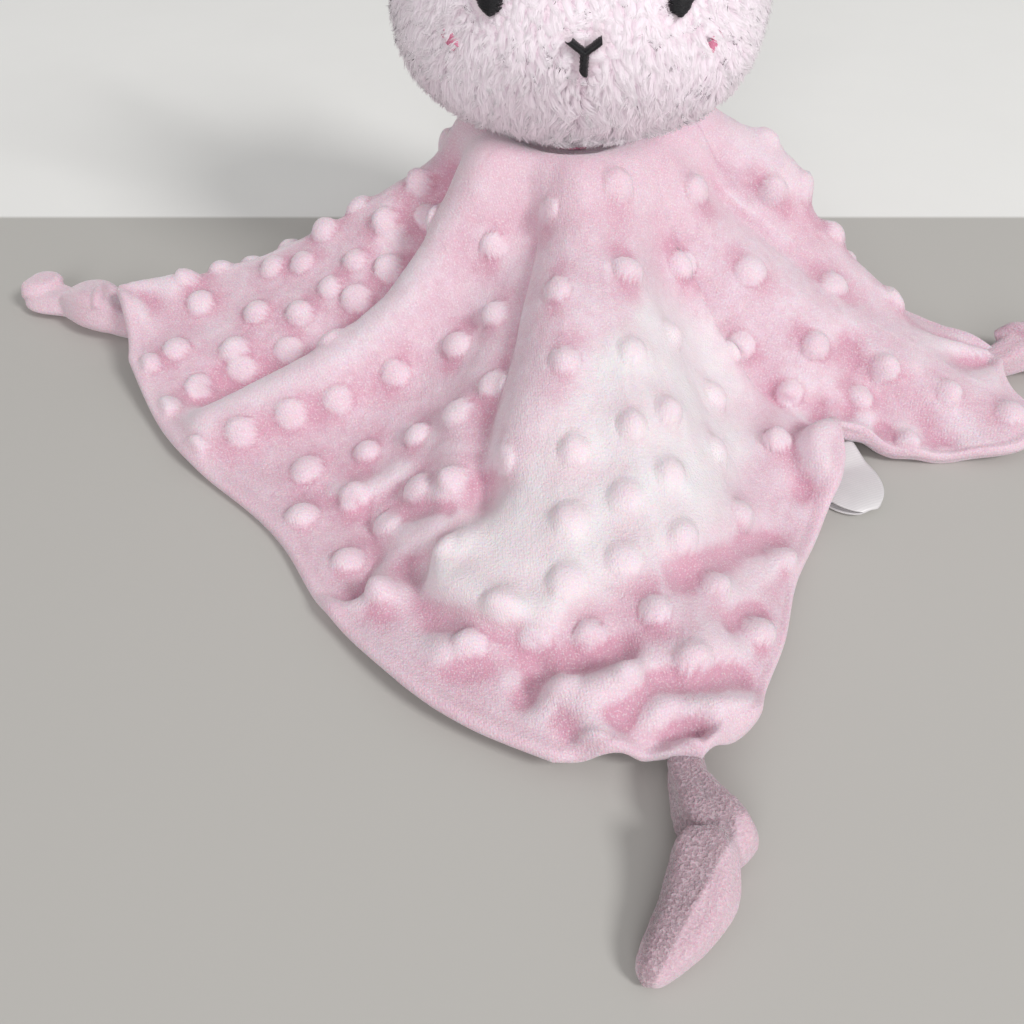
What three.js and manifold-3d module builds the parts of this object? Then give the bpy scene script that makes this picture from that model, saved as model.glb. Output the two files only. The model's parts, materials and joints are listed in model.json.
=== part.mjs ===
// Bunny comfort blanket: a small stuffed head sewn to the middle of a two-layer square blanket,
// draped like a tent from the neck, with its four corners knotted. Millimetres, +Z up, the face
// looks along -Y, and the origin is on the table under the middle of the toy's outer box.
import * as THREE from 'three';
import { mergeVertices } from 'three/addons/utils/BufferGeometryUtils.js';
import Module from 'manifold-3d';

const wasm = await Module();
wasm.setup();

// Clearances and cuts
const gap = 0.3; // air left between pieces that touch
const overrun = 5; // how far a cutting block runs past what it cuts
const footCut = 0.5; // depth of the flat that the table presses into cloth lying on it

// Head
const headWidth = 96; // cheek to cheek, without the pile
const headDepth = 76;
const headHeight = 82;
const headSkin = 2.5; // plush backing with the roots of its pile
const headSeamY = 3; // the side seam between the face and the back
const muzzleForward = 3.5;
const muzzleHalfWidth = 19;
const muzzleHalfHeight = 13;
const muzzleDrop = 9; // below the head's centre
const cheekFullnessShare = 0.07;
const cheekDropShare = 0.35;
const cheekSpanShare = 0.5;
const latitudePower = 0.86; // below 1 squares the outline a little
const longitudePower = 0.94;

// Embroidery on the face
const stitchHeight = 0.9;
const eyeWidth = 6.4;
const eyeHeight = 8.6;
const eyeSpacing = 45;
const eyeRise = 4; // above the head's centre
const highlightSize = 1.7;
const highlightShiftX = 1.05;
const highlightShiftZ = 0.4;
const highlightHeight = 0.5;
const noseArmReach = 3.7;
const noseArmRise = 2.8;
const noseStemLength = 5.2;
const noseDrop = 6.5; // the fork of the Y, below the head's centre
const noseArmWidth = 1.3;
const noseStemWidth = 1.6;
const cheekPatchWidth = 6;
const cheekPatchHeight = 4.4;
const cheekPatchSpacing = 63;
const cheekPatchDrop = 8;

// Ears
const earLength = 62;
const earWidth = 27;
const earBaseWidth = 13;
const earTipWidth = 5;
const earThickness = 2.2; // one layer at its middle
const earEdgeThickness = 0.5; // one layer at its seam
const earCup = 3.2; // how far the ear's edges curl forward
const earLean = 7; // how far the tip leans back
const earLatitude = 66; // place on the skull, in degrees
const earSplay = 20; // outward tilt, in degrees
const earRoot = 4; // length of the ear below the middle of its base, trimmed to the skull
const earClearance = 0.75; // lets the base rock on the skull

// Blanket
const blanketReach = 200; // places in plan are shares of this
const crownHeight = 52.6; // underside of the lining at the neck
const crownRadius = 27;
const liningThickness = 1.6;
const topThickness = 2.2;
const valleyPower = 2.1;
const sideSteps = 11; // grid steps along each side of the blanket
const ringSteps = 10; // grid steps from the crown to the hem
const hemEndShare = 0.09; // the hem's swells fade over this share of a side next to a knot

// Neck: a dome on the crown's cloth, under the head
const neckHeight = 5; // from the crown's cloth to the head's underside
const neckRadius = 7.5; // about the point where the head nods
const neckStitchWidth = 1.2;
const neckSeatHeight = crownHeight + liningThickness + topThickness + gap * 2;
const headUnderside = neckSeatHeight + neckHeight;
const neckPivotHeight = headUnderside - gap - neckRadius;
const headCentreHeight = headUnderside + headHeight / 2;

// Where the knotted corners leave the hem, in plan from the neck's axis, as shares of the blanket's reach;
// each tail aims so many degrees round from +X, and its length and sideways curl are shares of the tail's
const tailLength = 44;
const cornerShares = {
  right: { x: 0.64, y: -0.2, aim: 9, length: 1, curl: 0.07 },
  back: { x: 0.03, y: 0.48, aim: 82, length: 1, curl: 0.09 },
  left: { x: -0.69, y: -0.085, aim: 150, length: 0.82, curl: -0.045 },
  front: { x: 0.105, y: -0.88, aim: -93, length: 0.93, curl: -0.23 },
};
const cornerNames = ['right', 'back', 'left', 'front'];

// The pinch that draws the hem in at the front right, where the label hangs
const pinchShares = { place: 0.63, span: 0.045, out: -0.065 };

// The hem between two corners: swells set it out from the straight line, dents draw it in; place and span
// are shares of the side, out is a share of the blanket's reach
const sideShares = {
  right: [{ place: 0.5, span: 0.3, out: -0.055 }],
  back: [{ place: 0.5, span: 0.3, out: -0.05 }],
  left: [
    { place: 0.28, span: 0.24, out: 0.095 },
    { place: 0.74, span: 0.26, out: 0.14 },
  ],
  front: [
    { place: 0.06, span: 0.07, out: 0.02 },
    { place: 0.56, span: 0.17, out: -0.075 },
    pinchShares,
    { place: 0.85, span: 0.11, out: 0.095 },
  ],
};

// Main folds: a ray from the crown at angle, turned by bend degrees on its way to the hem, spreading left
// and right by so many degrees; its crest falls from the crown to a share of the crown's height at the end
const foldShares = [
  { angle: 184, bend: 3, left: 16, right: 15, height: 0.18, end: 1, shoulder: 0.92, fall: 1.4 },
  { angle: 217, bend: -1, left: 12, right: 11, height: 0, end: 1, shoulder: 1, fall: 1.4 },
  { angle: 257, bend: -1, left: 17, right: 7, height: 0.067, end: 0.9, shoulder: 1.15, fall: 1.15 },
  { angle: 281, bend: -3, left: 15, right: 15, height: 0.076, end: 1, shoulder: 1.15, fall: 1.2 },
  { angle: 318, bend: 6, left: 14, right: 12, height: 0, end: 1, shoulder: 1.3, fall: 1.8 },
  { angle: 376, bend: -32, left: 17, right: 22, height: 0.133, end: 1, shoulder: 2.1, fall: 1.75 },
  { angle: 50, bend: 2, left: 11, right: 10, height: 0, end: 1, shoulder: 1.1, fall: 1.6 },
  { angle: 88, bend: 0, left: 15, right: 15, height: 0.124, end: 1, shoulder: 1.1, fall: 1.5 },
  { angle: 138, bend: -3, left: 12, right: 12, height: 0, end: 1, shoulder: 1, fall: 1.5 },
];

// Local lifts of the cloth, as shares of the blanket's reach: the pinched hem, the shoulders and the
// gathers above the front knot
const liftShares = [
  { x: 0.32, y: -0.415, spread: 0.07, rise: 0.065 },
  { x: 0.59, y: -0.18, spread: 0.045, rise: 0.025 },
  { x: 0.3, y: 0.055, spread: 0.125, rise: 0.0675 },
  { x: -0.2, y: 0.03, spread: 0.09, rise: 0.02 },
  { x: 0.015, y: -0.8, spread: 0.04, rise: 0.02 },
  { x: 0.12, y: -0.76, spread: 0.04, rise: 0.0225 },
];

// Knots and tails
const knotHingeHeight = 6.6; // the corner bends here, above the table
const knotNeckRadius = 5.6;
const knotRadius = 4.6; // from the knot's axis to the middle of its wrap
const knotWrapRadius = 3.3;
const knotPlace = 13; // from the hinge to the knot's middle
const knotSlant = 28; // tilt of the wrap, in degrees
const tailHalfWidth = 8;
const tailHalfHeight = 3.9;
const tailWaistHalfWidth = 5;
const tailTipHalfWidth = 3.4;
const tailTipHalfHeight = 2.4;
const knotRootShare = 0.33; // how far the neck's loft starts inside its ball
const neckTaperShare = 0.75;
const knotCoreShare = 1.2;
const waistRiseShare = 0.6;

// Between its waist and its tip the tail is set by place along it, part of its curl and part of its width
const tailShares = [
  { place: 0.35, curl: 0.2, width: 1 },
  { place: 0.7, curl: 0.6, width: 0.85 },
];

// Care label
const labelWidth = 15;
const labelThickness = 0.6;
const labelOut = 13; // how far it lies out on the table
const labelClearance = 0.5; // above the table
const labelAim = -42; // in degrees
const labelTurnRadius = 5;

// Colours
const plushPink = { color: 0xe9d3dc, roughness: 0.95, metalness: 0 };
const minkyPink = { color: 0xe6bccb, roughness: 0.85, metalness: 0 };
const liningPink = { color: 0xd9b3bf, roughness: 0.9, metalness: 0 };
const threadBlack = { color: 0x17151a, roughness: 0.55, metalness: 0 };
const threadWhite = { color: 0xf4f4f6, roughness: 0.55, metalness: 0 };
const threadPink = { color: 0xe38ca8, roughness: 0.6, metalness: 0 };
const satinWhite = { color: 0xeeebee, roughness: 0.4, metalness: 0 };
const fibreWhite = { color: 0xf6f3f0, roughness: 1, metalness: 0 };

const radians = THREE.MathUtils.degToRad;
const mix = THREE.MathUtils.lerp;
const clamp = THREE.MathUtils.clamp;

// Power that keeps the sign, for squared-off ellipsoids
function signedPower(value, power) {
  return Math.sign(value) * Math.abs(value) ** power;
}

// Bell curve of a distance
function bell(distance, span) {
  return Math.exp(-((distance / span) ** 2));
}

// Closed solid from positions and triangle indices
function solidOf(points, faces) {
  const geometry = new THREE.BufferGeometry();
  geometry.setAttribute('position', new THREE.Float32BufferAttribute(points.flat(), 3));
  geometry.setIndex(faces.flat());
  return toManifold(geometry);
}

function toManifold(source) {
  const bare = source.clone();
  bare.deleteAttribute('normal');
  bare.deleteAttribute('uv');
  const merged = mergeVertices(bare);
  const vertProperties = new Float32Array(merged.attributes.position.array);
  const triVerts = new Uint32Array(merged.index.array);
  return new wasm.Manifold(new wasm.Mesh({ numProp: 3, vertProperties, triVerts }));
}

function toGeometry(manifold) {
  const mesh = manifold.getMesh();
  const geometry = new THREE.BufferGeometry();
  geometry.setAttribute('position', new THREE.BufferAttribute(mesh.vertProperties, 3));
  geometry.setIndex(new THREE.BufferAttribute(mesh.triVerts, 1));
  geometry.computeVertexNormals();
  return geometry;
}

function namedMesh(name, manifold, look) {
  const mesh = new THREE.Mesh(toGeometry(manifold), new THREE.MeshStandardMaterial(look));
  mesh.name = name;
  return mesh;
}

// Box between two corners, for cuts
function block(low, high) {
  const geometry = new THREE.BoxGeometry(high[0] - low[0], high[1] - low[1], high[2] - low[2]);
  geometry.translate((low[0] + high[0]) / 2, (low[1] + high[1]) / 2, (low[2] + high[2]) / 2);
  return toManifold(geometry);
}

// Half space above the table, as a block as wide as size
function aboveTable(size, tableZ = 0) {
  return block([-size, -size, tableZ], [size, size, tableZ + size]);
}

// Place in plan of a corner's hinge
function cornerPlace(name) {
  return { x: cornerShares[name].x * blanketReach, y: cornerShares[name].y * blanketReach };
}

// Place in plan on the hem: side runs 0 to 4 around the blanket, one side from each corner to the next
function hemPoint(side) {
  const index = Math.floor(side) % cornerNames.length;
  const share = side - Math.floor(side);
  const from = cornerPlace(cornerNames[index]);
  const to = cornerPlace(cornerNames[(index + 1) % cornerNames.length]);
  const length = Math.hypot(to.x - from.x, to.y - from.y);
  const across = { x: (to.y - from.y) / length, y: (from.x - to.x) / length };
  const ends = Math.min(1, (share * (1 - share)) / hemEndShare);
  let out = 0;
  for (const swell of sideShares[cornerNames[index]]) {
    out += ends * swell.out * blanketReach * bell(share - swell.place, swell.span);
  }
  return [mix(from.x, to.x, share) + across.x * out, mix(from.y, to.y, share) + across.y * out];
}

// Height of the lining's underside: valleys fall steeply from the crown, fold crests stand over them
function drapeHeight(x, y, hemRadius) {
  const outShare = clamp((Math.hypot(x, y) - crownRadius) / (hemRadius - crownRadius), 0, 1);
  const valley = mix(-footCut, crownHeight, (1 - outShare) ** valleyPower);
  let crests = 0;
  let weights = 0;
  for (const fold of foldShares) {
    const aside = Math.atan2(y, x) - radians(fold.angle + fold.bend * outShare);
    const turn = Math.atan2(Math.sin(aside), Math.cos(aside));
    const spread = radians(turn > 0 ? fold.left : fold.right);
    const weight = bell(turn, spread);
    const fallen = Math.min(1, outShare / fold.end) ** fold.shoulder;
    const crest = crownHeight * mix(fold.height, 1, (1 - fallen) ** fold.fall);
    crests += weight * Math.max(0, crest - valley);
    weights += weight;
  }
  let lifted = 0;
  for (const lift of liftShares) {
    const away = Math.hypot(x - lift.x * blanketReach, y - lift.y * blanketReach);
    lifted += lift.rise * blanketReach * bell(away, lift.spread * blanketReach);
  }
  return valley + crests / Math.max(1, weights) + lifted;
}

// Grid of the drape: rings from the crown's middle out to the hem, with the unit normal of each point
function drapeGrid() {
  const columns = cornerNames.length * sideSteps;
  const at = (ring, column) => {
    const hem = hemPoint((column % columns) / sideSteps);
    const share = ring / ringSteps;
    const x = hem[0] * share;
    const y = hem[1] * share;
    return new THREE.Vector3(x, y, drapeHeight(x, y, Math.hypot(...hem)));
  };
  const rings = [];
  for (let ring = 0; ring <= ringSteps; ring += 1) {
    const row = [];
    for (let column = 0; column < columns; column += 1) {
      const outer = at(Math.min(ring + 1, ringSteps), column);
      const inner = at(Math.max(ring - 1, 0), column);
      const next = at(Math.max(ring, 1), column + 1);
      const last = at(Math.max(ring, 1), column + columns - 1);
      const normal = outer.sub(inner).cross(next.sub(last)).normalize();
      row.push({ point: at(ring, column), normal: ring ? normal : new THREE.Vector3(0, 0, 1) });
    }
    rings.push(row);
  }
  return rings;
}

// Closed sheet between two offsets from the drape
function sheet(grid, low, high) {
  const columns = grid[0].length;
  const points = [];
  const faces = [];
  const layerSize = 1 + ringSteps * columns;
  for (const offset of [low, high]) {
    for (let ring = 0; ring <= ringSteps; ring += 1) {
      const row = ring ? grid[ring] : [grid[0][0]];
      for (const { point, normal } of row) {
        points.push(point.clone().addScaledVector(normal, offset).toArray());
      }
    }
  }
  const at = (layer, ring, column) => {
    const inLayer = ring ? 1 + (ring - 1) * columns + (column % columns) : 0;
    return layer * layerSize + inLayer;
  };
  for (let column = 0; column < columns; column += 1) {
    for (const layer of [0, 1]) {
      const turn = (a, b, c) => (layer ? [a, b, c] : [a, c, b]);
      faces.push(turn(at(layer, 0, 0), at(layer, 1, column), at(layer, 1, column + 1)));
      for (let ring = 1; ring < ringSteps; ring += 1) {
        const corner = at(layer, ring, column);
        const far = at(layer, ring + 1, column + 1);
        faces.push(turn(corner, at(layer, ring + 1, column), far));
        faces.push(turn(corner, far, at(layer, ring, column + 1)));
      }
    }
    const below = at(0, ringSteps, column);
    const above = at(1, ringSteps, column + 1);
    faces.push([below, at(0, ringSteps, column + 1), above]);
    faces.push([below, above, at(1, ringSteps, column)]);
  }
  return solidOf(points, faces);
}

// Ball-shaped seats that keep the blanket clear of the necks of its knots
function cornerSeats() {
  return cornerNames.map((name) => {
    const ball = new THREE.SphereGeometry(knotNeckRadius + gap, 16, 12);
    const { x, y } = cornerPlace(name);
    ball.translate(x, y, knotHingeHeight);
    return toManifold(ball);
  });
}

function blanketLayers() {
  const grid = drapeGrid();
  const reach = blanketReach + crownHeight + overrun;
  const layer = (name, low, high, look) => {
    let solid = sheet(grid, low, high).intersect(aboveTable(reach));
    for (const seat of cornerSeats()) {
      solid = solid.subtract(seat);
    }
    return namedMesh(name, solid, look);
  };
  const topLow = liningThickness + gap;
  return [
    layer('blanket_lining', 0, liningThickness, liningPink),
    layer('blanket_top', topLow, topLow + topThickness, minkyPink),
  ];
}

// Loft of ellipses along +X, closed at both ends: stations are [x, side, up, half width, half height]
function loft(stations, sidesCount) {
  const points = [];
  const faces = [];
  for (const [x, side, up, halfWidth, halfHeight] of stations) {
    for (let step = 0; step < sidesCount; step += 1) {
      const angle = (step / sidesCount) * Math.PI * 2;
      points.push([x, side + halfWidth * Math.cos(angle), up + halfHeight * Math.sin(angle)]);
    }
  }
  const last = (stations.length - 1) * sidesCount;
  for (let step = 0; step < sidesCount; step += 1) {
    const next = (step + 1) % sidesCount;
    for (let ring = 0; ring < last; ring += sidesCount) {
      faces.push([ring + step, ring + next, ring + sidesCount + next]);
      faces.push([ring + step, ring + sidesCount + next, ring + sidesCount + step]);
    }
    if (step > 0 && step < sidesCount - 1) {
      faces.push([0, next, step]);
      faces.push([last, last + step, last + next]);
    }
  }
  return solidOf(points, faces);
}

// Knotted corner: a round neck in the blanket's seat, the knot with its slanted wrap, and the tail
function knottedCorner(name) {
  const { aim, length, curl } = cornerShares[name];
  const { x, y } = cornerPlace(name);
  const tailReach = tailLength * length;
  const tailCurl = tailLength * curl;
  const tailUp = tailHalfHeight - footCut - knotHingeHeight;
  const tipUp = tailTipHalfHeight - knotHingeHeight;
  const knotUp = knotRadius + knotWrapRadius - footCut - knotHingeHeight;
  const tailStart = knotPlace + knotRadius + knotWrapRadius;
  const tailSpan = tailReach - tailStart;
  const throatRadius = knotNeckRadius * neckTaperShare;
  const coreRadius = knotRadius * knotCoreShare;
  const waistUp = mix(knotUp, tailUp, waistRiseShare);
  const stations = [
    [-knotNeckRadius * knotRootShare, 0, 0, knotNeckRadius / 2, knotNeckRadius / 2],
    [knotNeckRadius, 0, 0, throatRadius, throatRadius],
    [knotPlace, 0, knotUp, coreRadius, coreRadius],
    [tailStart - knotWrapRadius, 0, waistUp, tailWaistHalfWidth, tailHalfHeight],
  ];
  for (const shares of tailShares) {
    const along = tailStart + tailSpan * shares.place;
    stations.push([along, tailCurl * shares.curl, tailUp, tailHalfWidth * shares.width, tailHalfHeight]);
  }
  stations.push([tailReach, tailCurl, tipUp, tailTipHalfWidth, tailTipHalfHeight]);
  const wrap = new THREE.TorusGeometry(knotRadius, knotWrapRadius, 7, 14);
  wrap.rotateY(Math.PI / 2);
  wrap.rotateZ(radians(knotSlant));
  wrap.translate(knotPlace, 0, knotUp);
  const neck = new THREE.SphereGeometry(knotNeckRadius, 12, 8);
  const knot = loft(stations, 10).add(toManifold(wrap)).add(toManifold(neck));
  const cutReach = tailReach + tailHalfWidth + overrun;
  const solid = knot.intersect(aboveTable(cutReach, -knotHingeHeight));
  const mesh = namedMesh(`knot_${name}`, solid, minkyPink);
  mesh.position.set(x, y, knotHingeHeight);
  mesh.rotation.z = radians(aim);
  return mesh;
}

// Point of the head's cover at a longitude and latitude in degrees, grown outward by grow
function headPoint(longitude, latitude, grow) {
  const lon = radians(longitude);
  const lat = radians(latitude);
  const level = signedPower(Math.cos(lat), latitudePower);
  const z = (headHeight / 2 + grow) * signedPower(Math.sin(lat), latitudePower);
  const below = (z + cheekDropShare * headHeight) / (cheekSpanShare * headHeight);
  const wide = (headWidth / 2 + grow) * (1 + cheekFullnessShare * bell(below, 1)) / (1 + cheekFullnessShare);
  const x = wide * level * signedPower(Math.cos(lon), longitudePower);
  const y = (headDepth / 2 + grow) * level * signedPower(Math.sin(lon), longitudePower);
  const muzzle = bell(x, muzzleHalfWidth) * bell(z + muzzleDrop, muzzleHalfHeight);
  return [x, y < 0 ? y - muzzleForward * muzzle * level : y, z + headCentreHeight];
}

// Whole head as a solid ball of columns x rows, grown outward by grow
function headBall(grow, columns, rows) {
  const points = [headPoint(0, -90, grow)];
  const faces = [];
  for (let row = 1; row < rows; row += 1) {
    for (let column = 0; column < columns; column += 1) {
      points.push(headPoint((column / columns) * 360, (row / rows) * 180 - 90, grow));
    }
  }
  points.push(headPoint(0, 90, grow));
  const top = points.length - 1;
  const at = (row, column) => 1 + (row - 1) * columns + (column % columns);
  for (let column = 0; column < columns; column += 1) {
    faces.push([0, at(1, column + 1), at(1, column)]);
    faces.push([top, at(rows - 1, column), at(rows - 1, column + 1)]);
    for (let row = 1; row < rows - 1; row += 1) {
      faces.push([at(row, column), at(row, column + 1), at(row + 1, column + 1)]);
      faces.push([at(row, column), at(row + 1, column + 1), at(row + 1, column)]);
    }
  }
  return solidOf(points, faces);
}

const headColumns = 28;
const headRows = 16;
const headReach = headCentreHeight + headHeight + headWidth; // well past the head on every side

// Cover of the head: two face panels joined down the middle, and one back panel
function headCover() {
  const inner = headBall(-headSkin, headColumns, headRows);
  const cover = headBall(0, headColumns, headRows).subtract(inner);
  const seam = gap / 2;
  const frontY = headSeamY - seam;
  const low = -overrun;
  const left = cover.intersect(block([-headReach, -headReach, low], [-seam, frontY, headReach]));
  const right = cover.intersect(block([seam, -headReach, low], [headReach, frontY, headReach]));
  const back = cover.intersect(block([-headReach, headSeamY + seam, low], [headReach, headReach, headReach]));
  return [
    namedMesh('face_panel_left', left, plushPink),
    namedMesh('face_panel_right', right, plushPink),
    namedMesh('head_back_panel', back, plushPink),
  ];
}

function headStuffing() {
  return namedMesh('head_stuffing', headBall(-headSkin - gap, headColumns, headRows), fibreWhite);
}

// Stitched patch: an outline in the XZ plane raised on the face by height, standing clear of what is under it
function facePatch(name, shape, under, height, look) {
  const settings = { depth: headDepth, bevelEnabled: false, curveSegments: 4 };
  const outline = new THREE.ExtrudeGeometry(shape, settings);
  outline.rotateX(Math.PI / 2);
  outline.translate(0, 0, headCentreHeight);
  const raised = headBall(under + height, headColumns, headRows);
  const cleared = headBall(under, headColumns, headRows);
  return namedMesh(name, raised.subtract(cleared).intersect(toManifold(outline)), look);
}

// Ellipse outline about (x, z) measured from the head's centre
function oval(x, z, width, height) {
  return new THREE.Shape().absellipse(x, z, width / 2, height / 2, 0, Math.PI * 2);
}

// Y outline: two arms rising from the fork and a stem below it
function noseShape() {
  const fork = -noseDrop;
  const halfArm = noseArmWidth / 2;
  const halfStem = noseStemWidth / 2;
  const tipOut = noseArmReach + halfArm;
  const tipUp = fork + noseArmRise;
  const shape = new THREE.Shape();
  shape.moveTo(-halfStem, fork - noseStemLength);
  shape.lineTo(halfStem, fork - noseStemLength);
  shape.lineTo(halfStem, fork - halfArm);
  shape.lineTo(tipOut, tipUp - halfArm);
  shape.lineTo(noseArmReach, tipUp + halfArm);
  shape.lineTo(0, fork + halfArm);
  shape.lineTo(-noseArmReach, tipUp + halfArm);
  shape.lineTo(-tipOut, tipUp - halfArm);
  shape.lineTo(-halfStem, fork - halfArm);
  shape.closePath();
  return shape;
}

function faceEmbroidery() {
  const patches = [facePatch('nose_and_mouth', noseShape(), gap, stitchHeight, threadBlack)];
  for (const [side, sign] of [['left', -1], ['right', 1]]) {
    const eyeX = (sign * eyeSpacing) / 2;
    const cheekX = (sign * cheekPatchSpacing) / 2;
    const eye = oval(eyeX, eyeRise, eyeWidth, eyeHeight);
    const spark = oval(eyeX - highlightShiftX, eyeRise + highlightShiftZ, highlightSize, highlightSize);
    const cheek = oval(cheekX, -cheekPatchDrop, cheekPatchWidth, cheekPatchHeight);
    const onEye = gap + stitchHeight + gap;
    patches.push(facePatch(`eye_${side}`, eye, gap, stitchHeight, threadBlack));
    patches.push(facePatch(`eye_highlight_${side}`, spark, onEye, highlightHeight, threadWhite));
    patches.push(facePatch(`cheek_${side}`, cheek, gap, stitchHeight, threadPink));
  }
  return patches;
}

// One layer of an ear, standing up +Z from its base: side 1 is the plush behind, -1 the cloth in front
function earLayer(side) {
  const acrossSteps = 6;
  const alongSteps = 9;
  const points = [];
  const faces = [];
  const row = acrossSteps + 1;
  const layerSize = row * (alongSteps + 1);
  for (const outer of [0, 1]) {
    for (let along = 0; along <= alongSteps; along += 1) {
      const share = along / alongSteps;
      const belly = Math.sin(Math.PI * share ** 0.8) ** 0.8;
      const ends = mix(earBaseWidth, earTipWidth, share);
      const halfWidth = mix(ends, earWidth, belly) / 2;
      for (let across = 0; across <= acrossSteps; across += 1) {
        const aside = (across / acrossSteps) * 2 - 1;
        const full = Math.sqrt(Math.max(0, 1 - aside ** 2)) * Math.sin(Math.PI * share);
        const thick = mix(earEdgeThickness, earThickness, full);
        const middle = earLean * share ** 2 - earCup * aside ** 2 * belly;
        points.push([halfWidth * aside, middle + side * (gap / 2 + outer * thick), earLength * share]);
      }
    }
  }
  const at = (layer, along, across) => layer * layerSize + along * row + across;
  const quad = (a, b, c, d) => faces.push(...(side > 0 ? [[a, b, c], [a, c, d]] : [[a, c, b], [a, d, c]]));
  for (let along = 0; along < alongSteps; along += 1) {
    for (let across = 0; across < acrossSteps; across += 1) {
      for (const layer of [0, 1]) {
        const cell = [at(layer, along, across), at(layer, along + 1, across)];
        cell.push(at(layer, along + 1, across + 1), at(layer, along, across + 1));
        quad(...(layer ? cell : cell.reverse()));
      }
    }
    quad(at(0, along, 0), at(0, along + 1, 0), at(1, along + 1, 0), at(1, along, 0));
    const end = acrossSteps;
    quad(at(1, along, end), at(1, along + 1, end), at(0, along + 1, end), at(0, along, end));
  }
  for (let across = 0; across < acrossSteps; across += 1) {
    quad(at(1, 0, across), at(1, 0, across + 1), at(0, 0, across + 1), at(0, 0, across));
    const end = alongSteps;
    quad(at(0, end, across), at(0, end, across + 1), at(1, end, across + 1), at(1, end, across));
  }
  return solidOf(points, faces);
}

// Two-layer ear: plush behind, smooth cloth in front, both sewn into the head's side seam
function ear(name, sign) {
  const [x, , z] = headPoint(0, earLatitude, 0);
  const place = new THREE.Matrix4().makeRotationY(sign * radians(earSplay));
  place.setPosition(sign * x, headSeamY, z);
  const root = new THREE.Matrix4().makeTranslation(0, 0, -earRoot);
  const skull = headBall(earClearance, headColumns, headRows);
  const layer = (suffix, side, look) => {
    const standing = earLayer(side).transform(place.clone().multiply(root).elements);
    return namedMesh(`ear_${name}_${suffix}`, standing.subtract(skull), look);
  };
  return [layer('back', 1, plushPink), layer('lining', -1, minkyPink)];
}

// Gathered neck of the head: a low dome about the nod's pivot, standing on the blanket's crown
function neckGather() {
  const dome = new THREE.SphereGeometry(neckRadius, 20, 12);
  dome.rotateX(Math.PI / 2);
  dome.translate(0, 0, neckPivotHeight);
  const cutReach = neckRadius + neckHeight + overrun;
  return namedMesh('neck_gather', toManifold(dome).intersect(aboveTable(cutReach, neckSeatHeight)), plushPink);
}

// Ring of stitches that sews the blanket's crown to the neck
function neckStitches() {
  const half = neckStitchWidth / 2;
  const ring = new THREE.TorusGeometry(neckRadius + gap + half, half, 6, 24);
  ring.translate(0, 0, neckSeatHeight + half);
  return namedMesh('neck_stitches', toManifold(ring), threadPink);
}

// Blank care label: a satin strip hanging from the pinched hem and curling out over the table
function careLabel() {
  const hemSide = cornerNames.indexOf('front') + pinchShares.place;
  const hem = hemPoint(hemSide);
  const hang = drapeHeight(hem[0], hem[1], Math.hypot(...hem));
  const low = labelClearance + labelThickness / 2;
  const turnSteps = 6;
  const path = [[gap + labelThickness / 2, hang]];
  for (let step = 0; step <= turnSteps; step += 1) {
    const angle = Math.PI * (1 + step / turnSteps / 2);
    const [x, z] = [Math.cos(angle), Math.sin(angle)];
    path.push([path[0][0] + labelTurnRadius * (1 + x), low + labelTurnRadius * (1 + z)]);
  }
  path.push([labelOut, low]);
  const stripSide = (sign) => path.map(([x, z], index) => {
    const before = path[Math.max(index - 1, 0)];
    const after = path[Math.min(index + 1, path.length - 1)];
    const length = Math.hypot(after[0] - before[0], after[1] - before[1]);
    const half = (sign * labelThickness) / 2 / length;
    return new THREE.Vector2(x + (before[1] - after[1]) * half, z + (after[0] - before[0]) * half);
  });
  const shape = new THREE.Shape([...stripSide(-1), ...stripSide(1).reverse()]);
  const strip = new THREE.ExtrudeGeometry(shape, { depth: labelWidth, bevelEnabled: false });
  strip.translate(0, 0, -labelWidth / 2);
  strip.rotateX(Math.PI / 2);
  strip.rotateZ(radians(labelAim));
  strip.translate(hem[0], hem[1], 0);
  const cloth = sheet(drapeGrid(), -gap, liningThickness + topThickness + labelTurnRadius);
  return namedMesh('care_label', toManifold(strip).subtract(cloth), satinWhite);
}

const lovey = new THREE.Group();
lovey.add(...blanketLayers());
lovey.add(...cornerNames.map(knottedCorner));
lovey.add(careLabel());
lovey.add(neckGather(), neckStitches());
lovey.add(...headCover(), headStuffing(), ...faceEmbroidery());
lovey.add(...ear('left', -1), ...ear('right', 1));

// The box of the whole toy is centred over the origin and stands on the table
const bounds = new THREE.Box3().setFromObject(lovey);
const middle = bounds.getCenter(new THREE.Vector3());
lovey.position.set(-middle.x, -middle.y, -bounds.min.z);
console.log('neck axis at', lovey.position.x.toFixed(2), lovey.position.y.toFixed(2));

export default lovey;
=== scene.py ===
import json
import bpy
import numpy as np
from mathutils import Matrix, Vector


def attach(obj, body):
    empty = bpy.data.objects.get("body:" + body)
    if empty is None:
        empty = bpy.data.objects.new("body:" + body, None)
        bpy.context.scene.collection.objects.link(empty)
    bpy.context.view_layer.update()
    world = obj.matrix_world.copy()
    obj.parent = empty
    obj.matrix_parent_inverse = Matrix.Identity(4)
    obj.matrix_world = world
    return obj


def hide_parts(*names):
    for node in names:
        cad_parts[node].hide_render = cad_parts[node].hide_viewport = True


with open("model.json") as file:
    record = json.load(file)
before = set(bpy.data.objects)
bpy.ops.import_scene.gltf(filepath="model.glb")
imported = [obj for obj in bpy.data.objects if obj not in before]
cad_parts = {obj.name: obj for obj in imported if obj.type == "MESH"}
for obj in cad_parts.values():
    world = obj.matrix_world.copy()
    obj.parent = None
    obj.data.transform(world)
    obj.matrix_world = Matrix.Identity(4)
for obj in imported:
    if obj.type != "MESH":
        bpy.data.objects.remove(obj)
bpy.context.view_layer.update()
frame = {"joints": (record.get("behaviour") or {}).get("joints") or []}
print("frame loaded")

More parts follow.
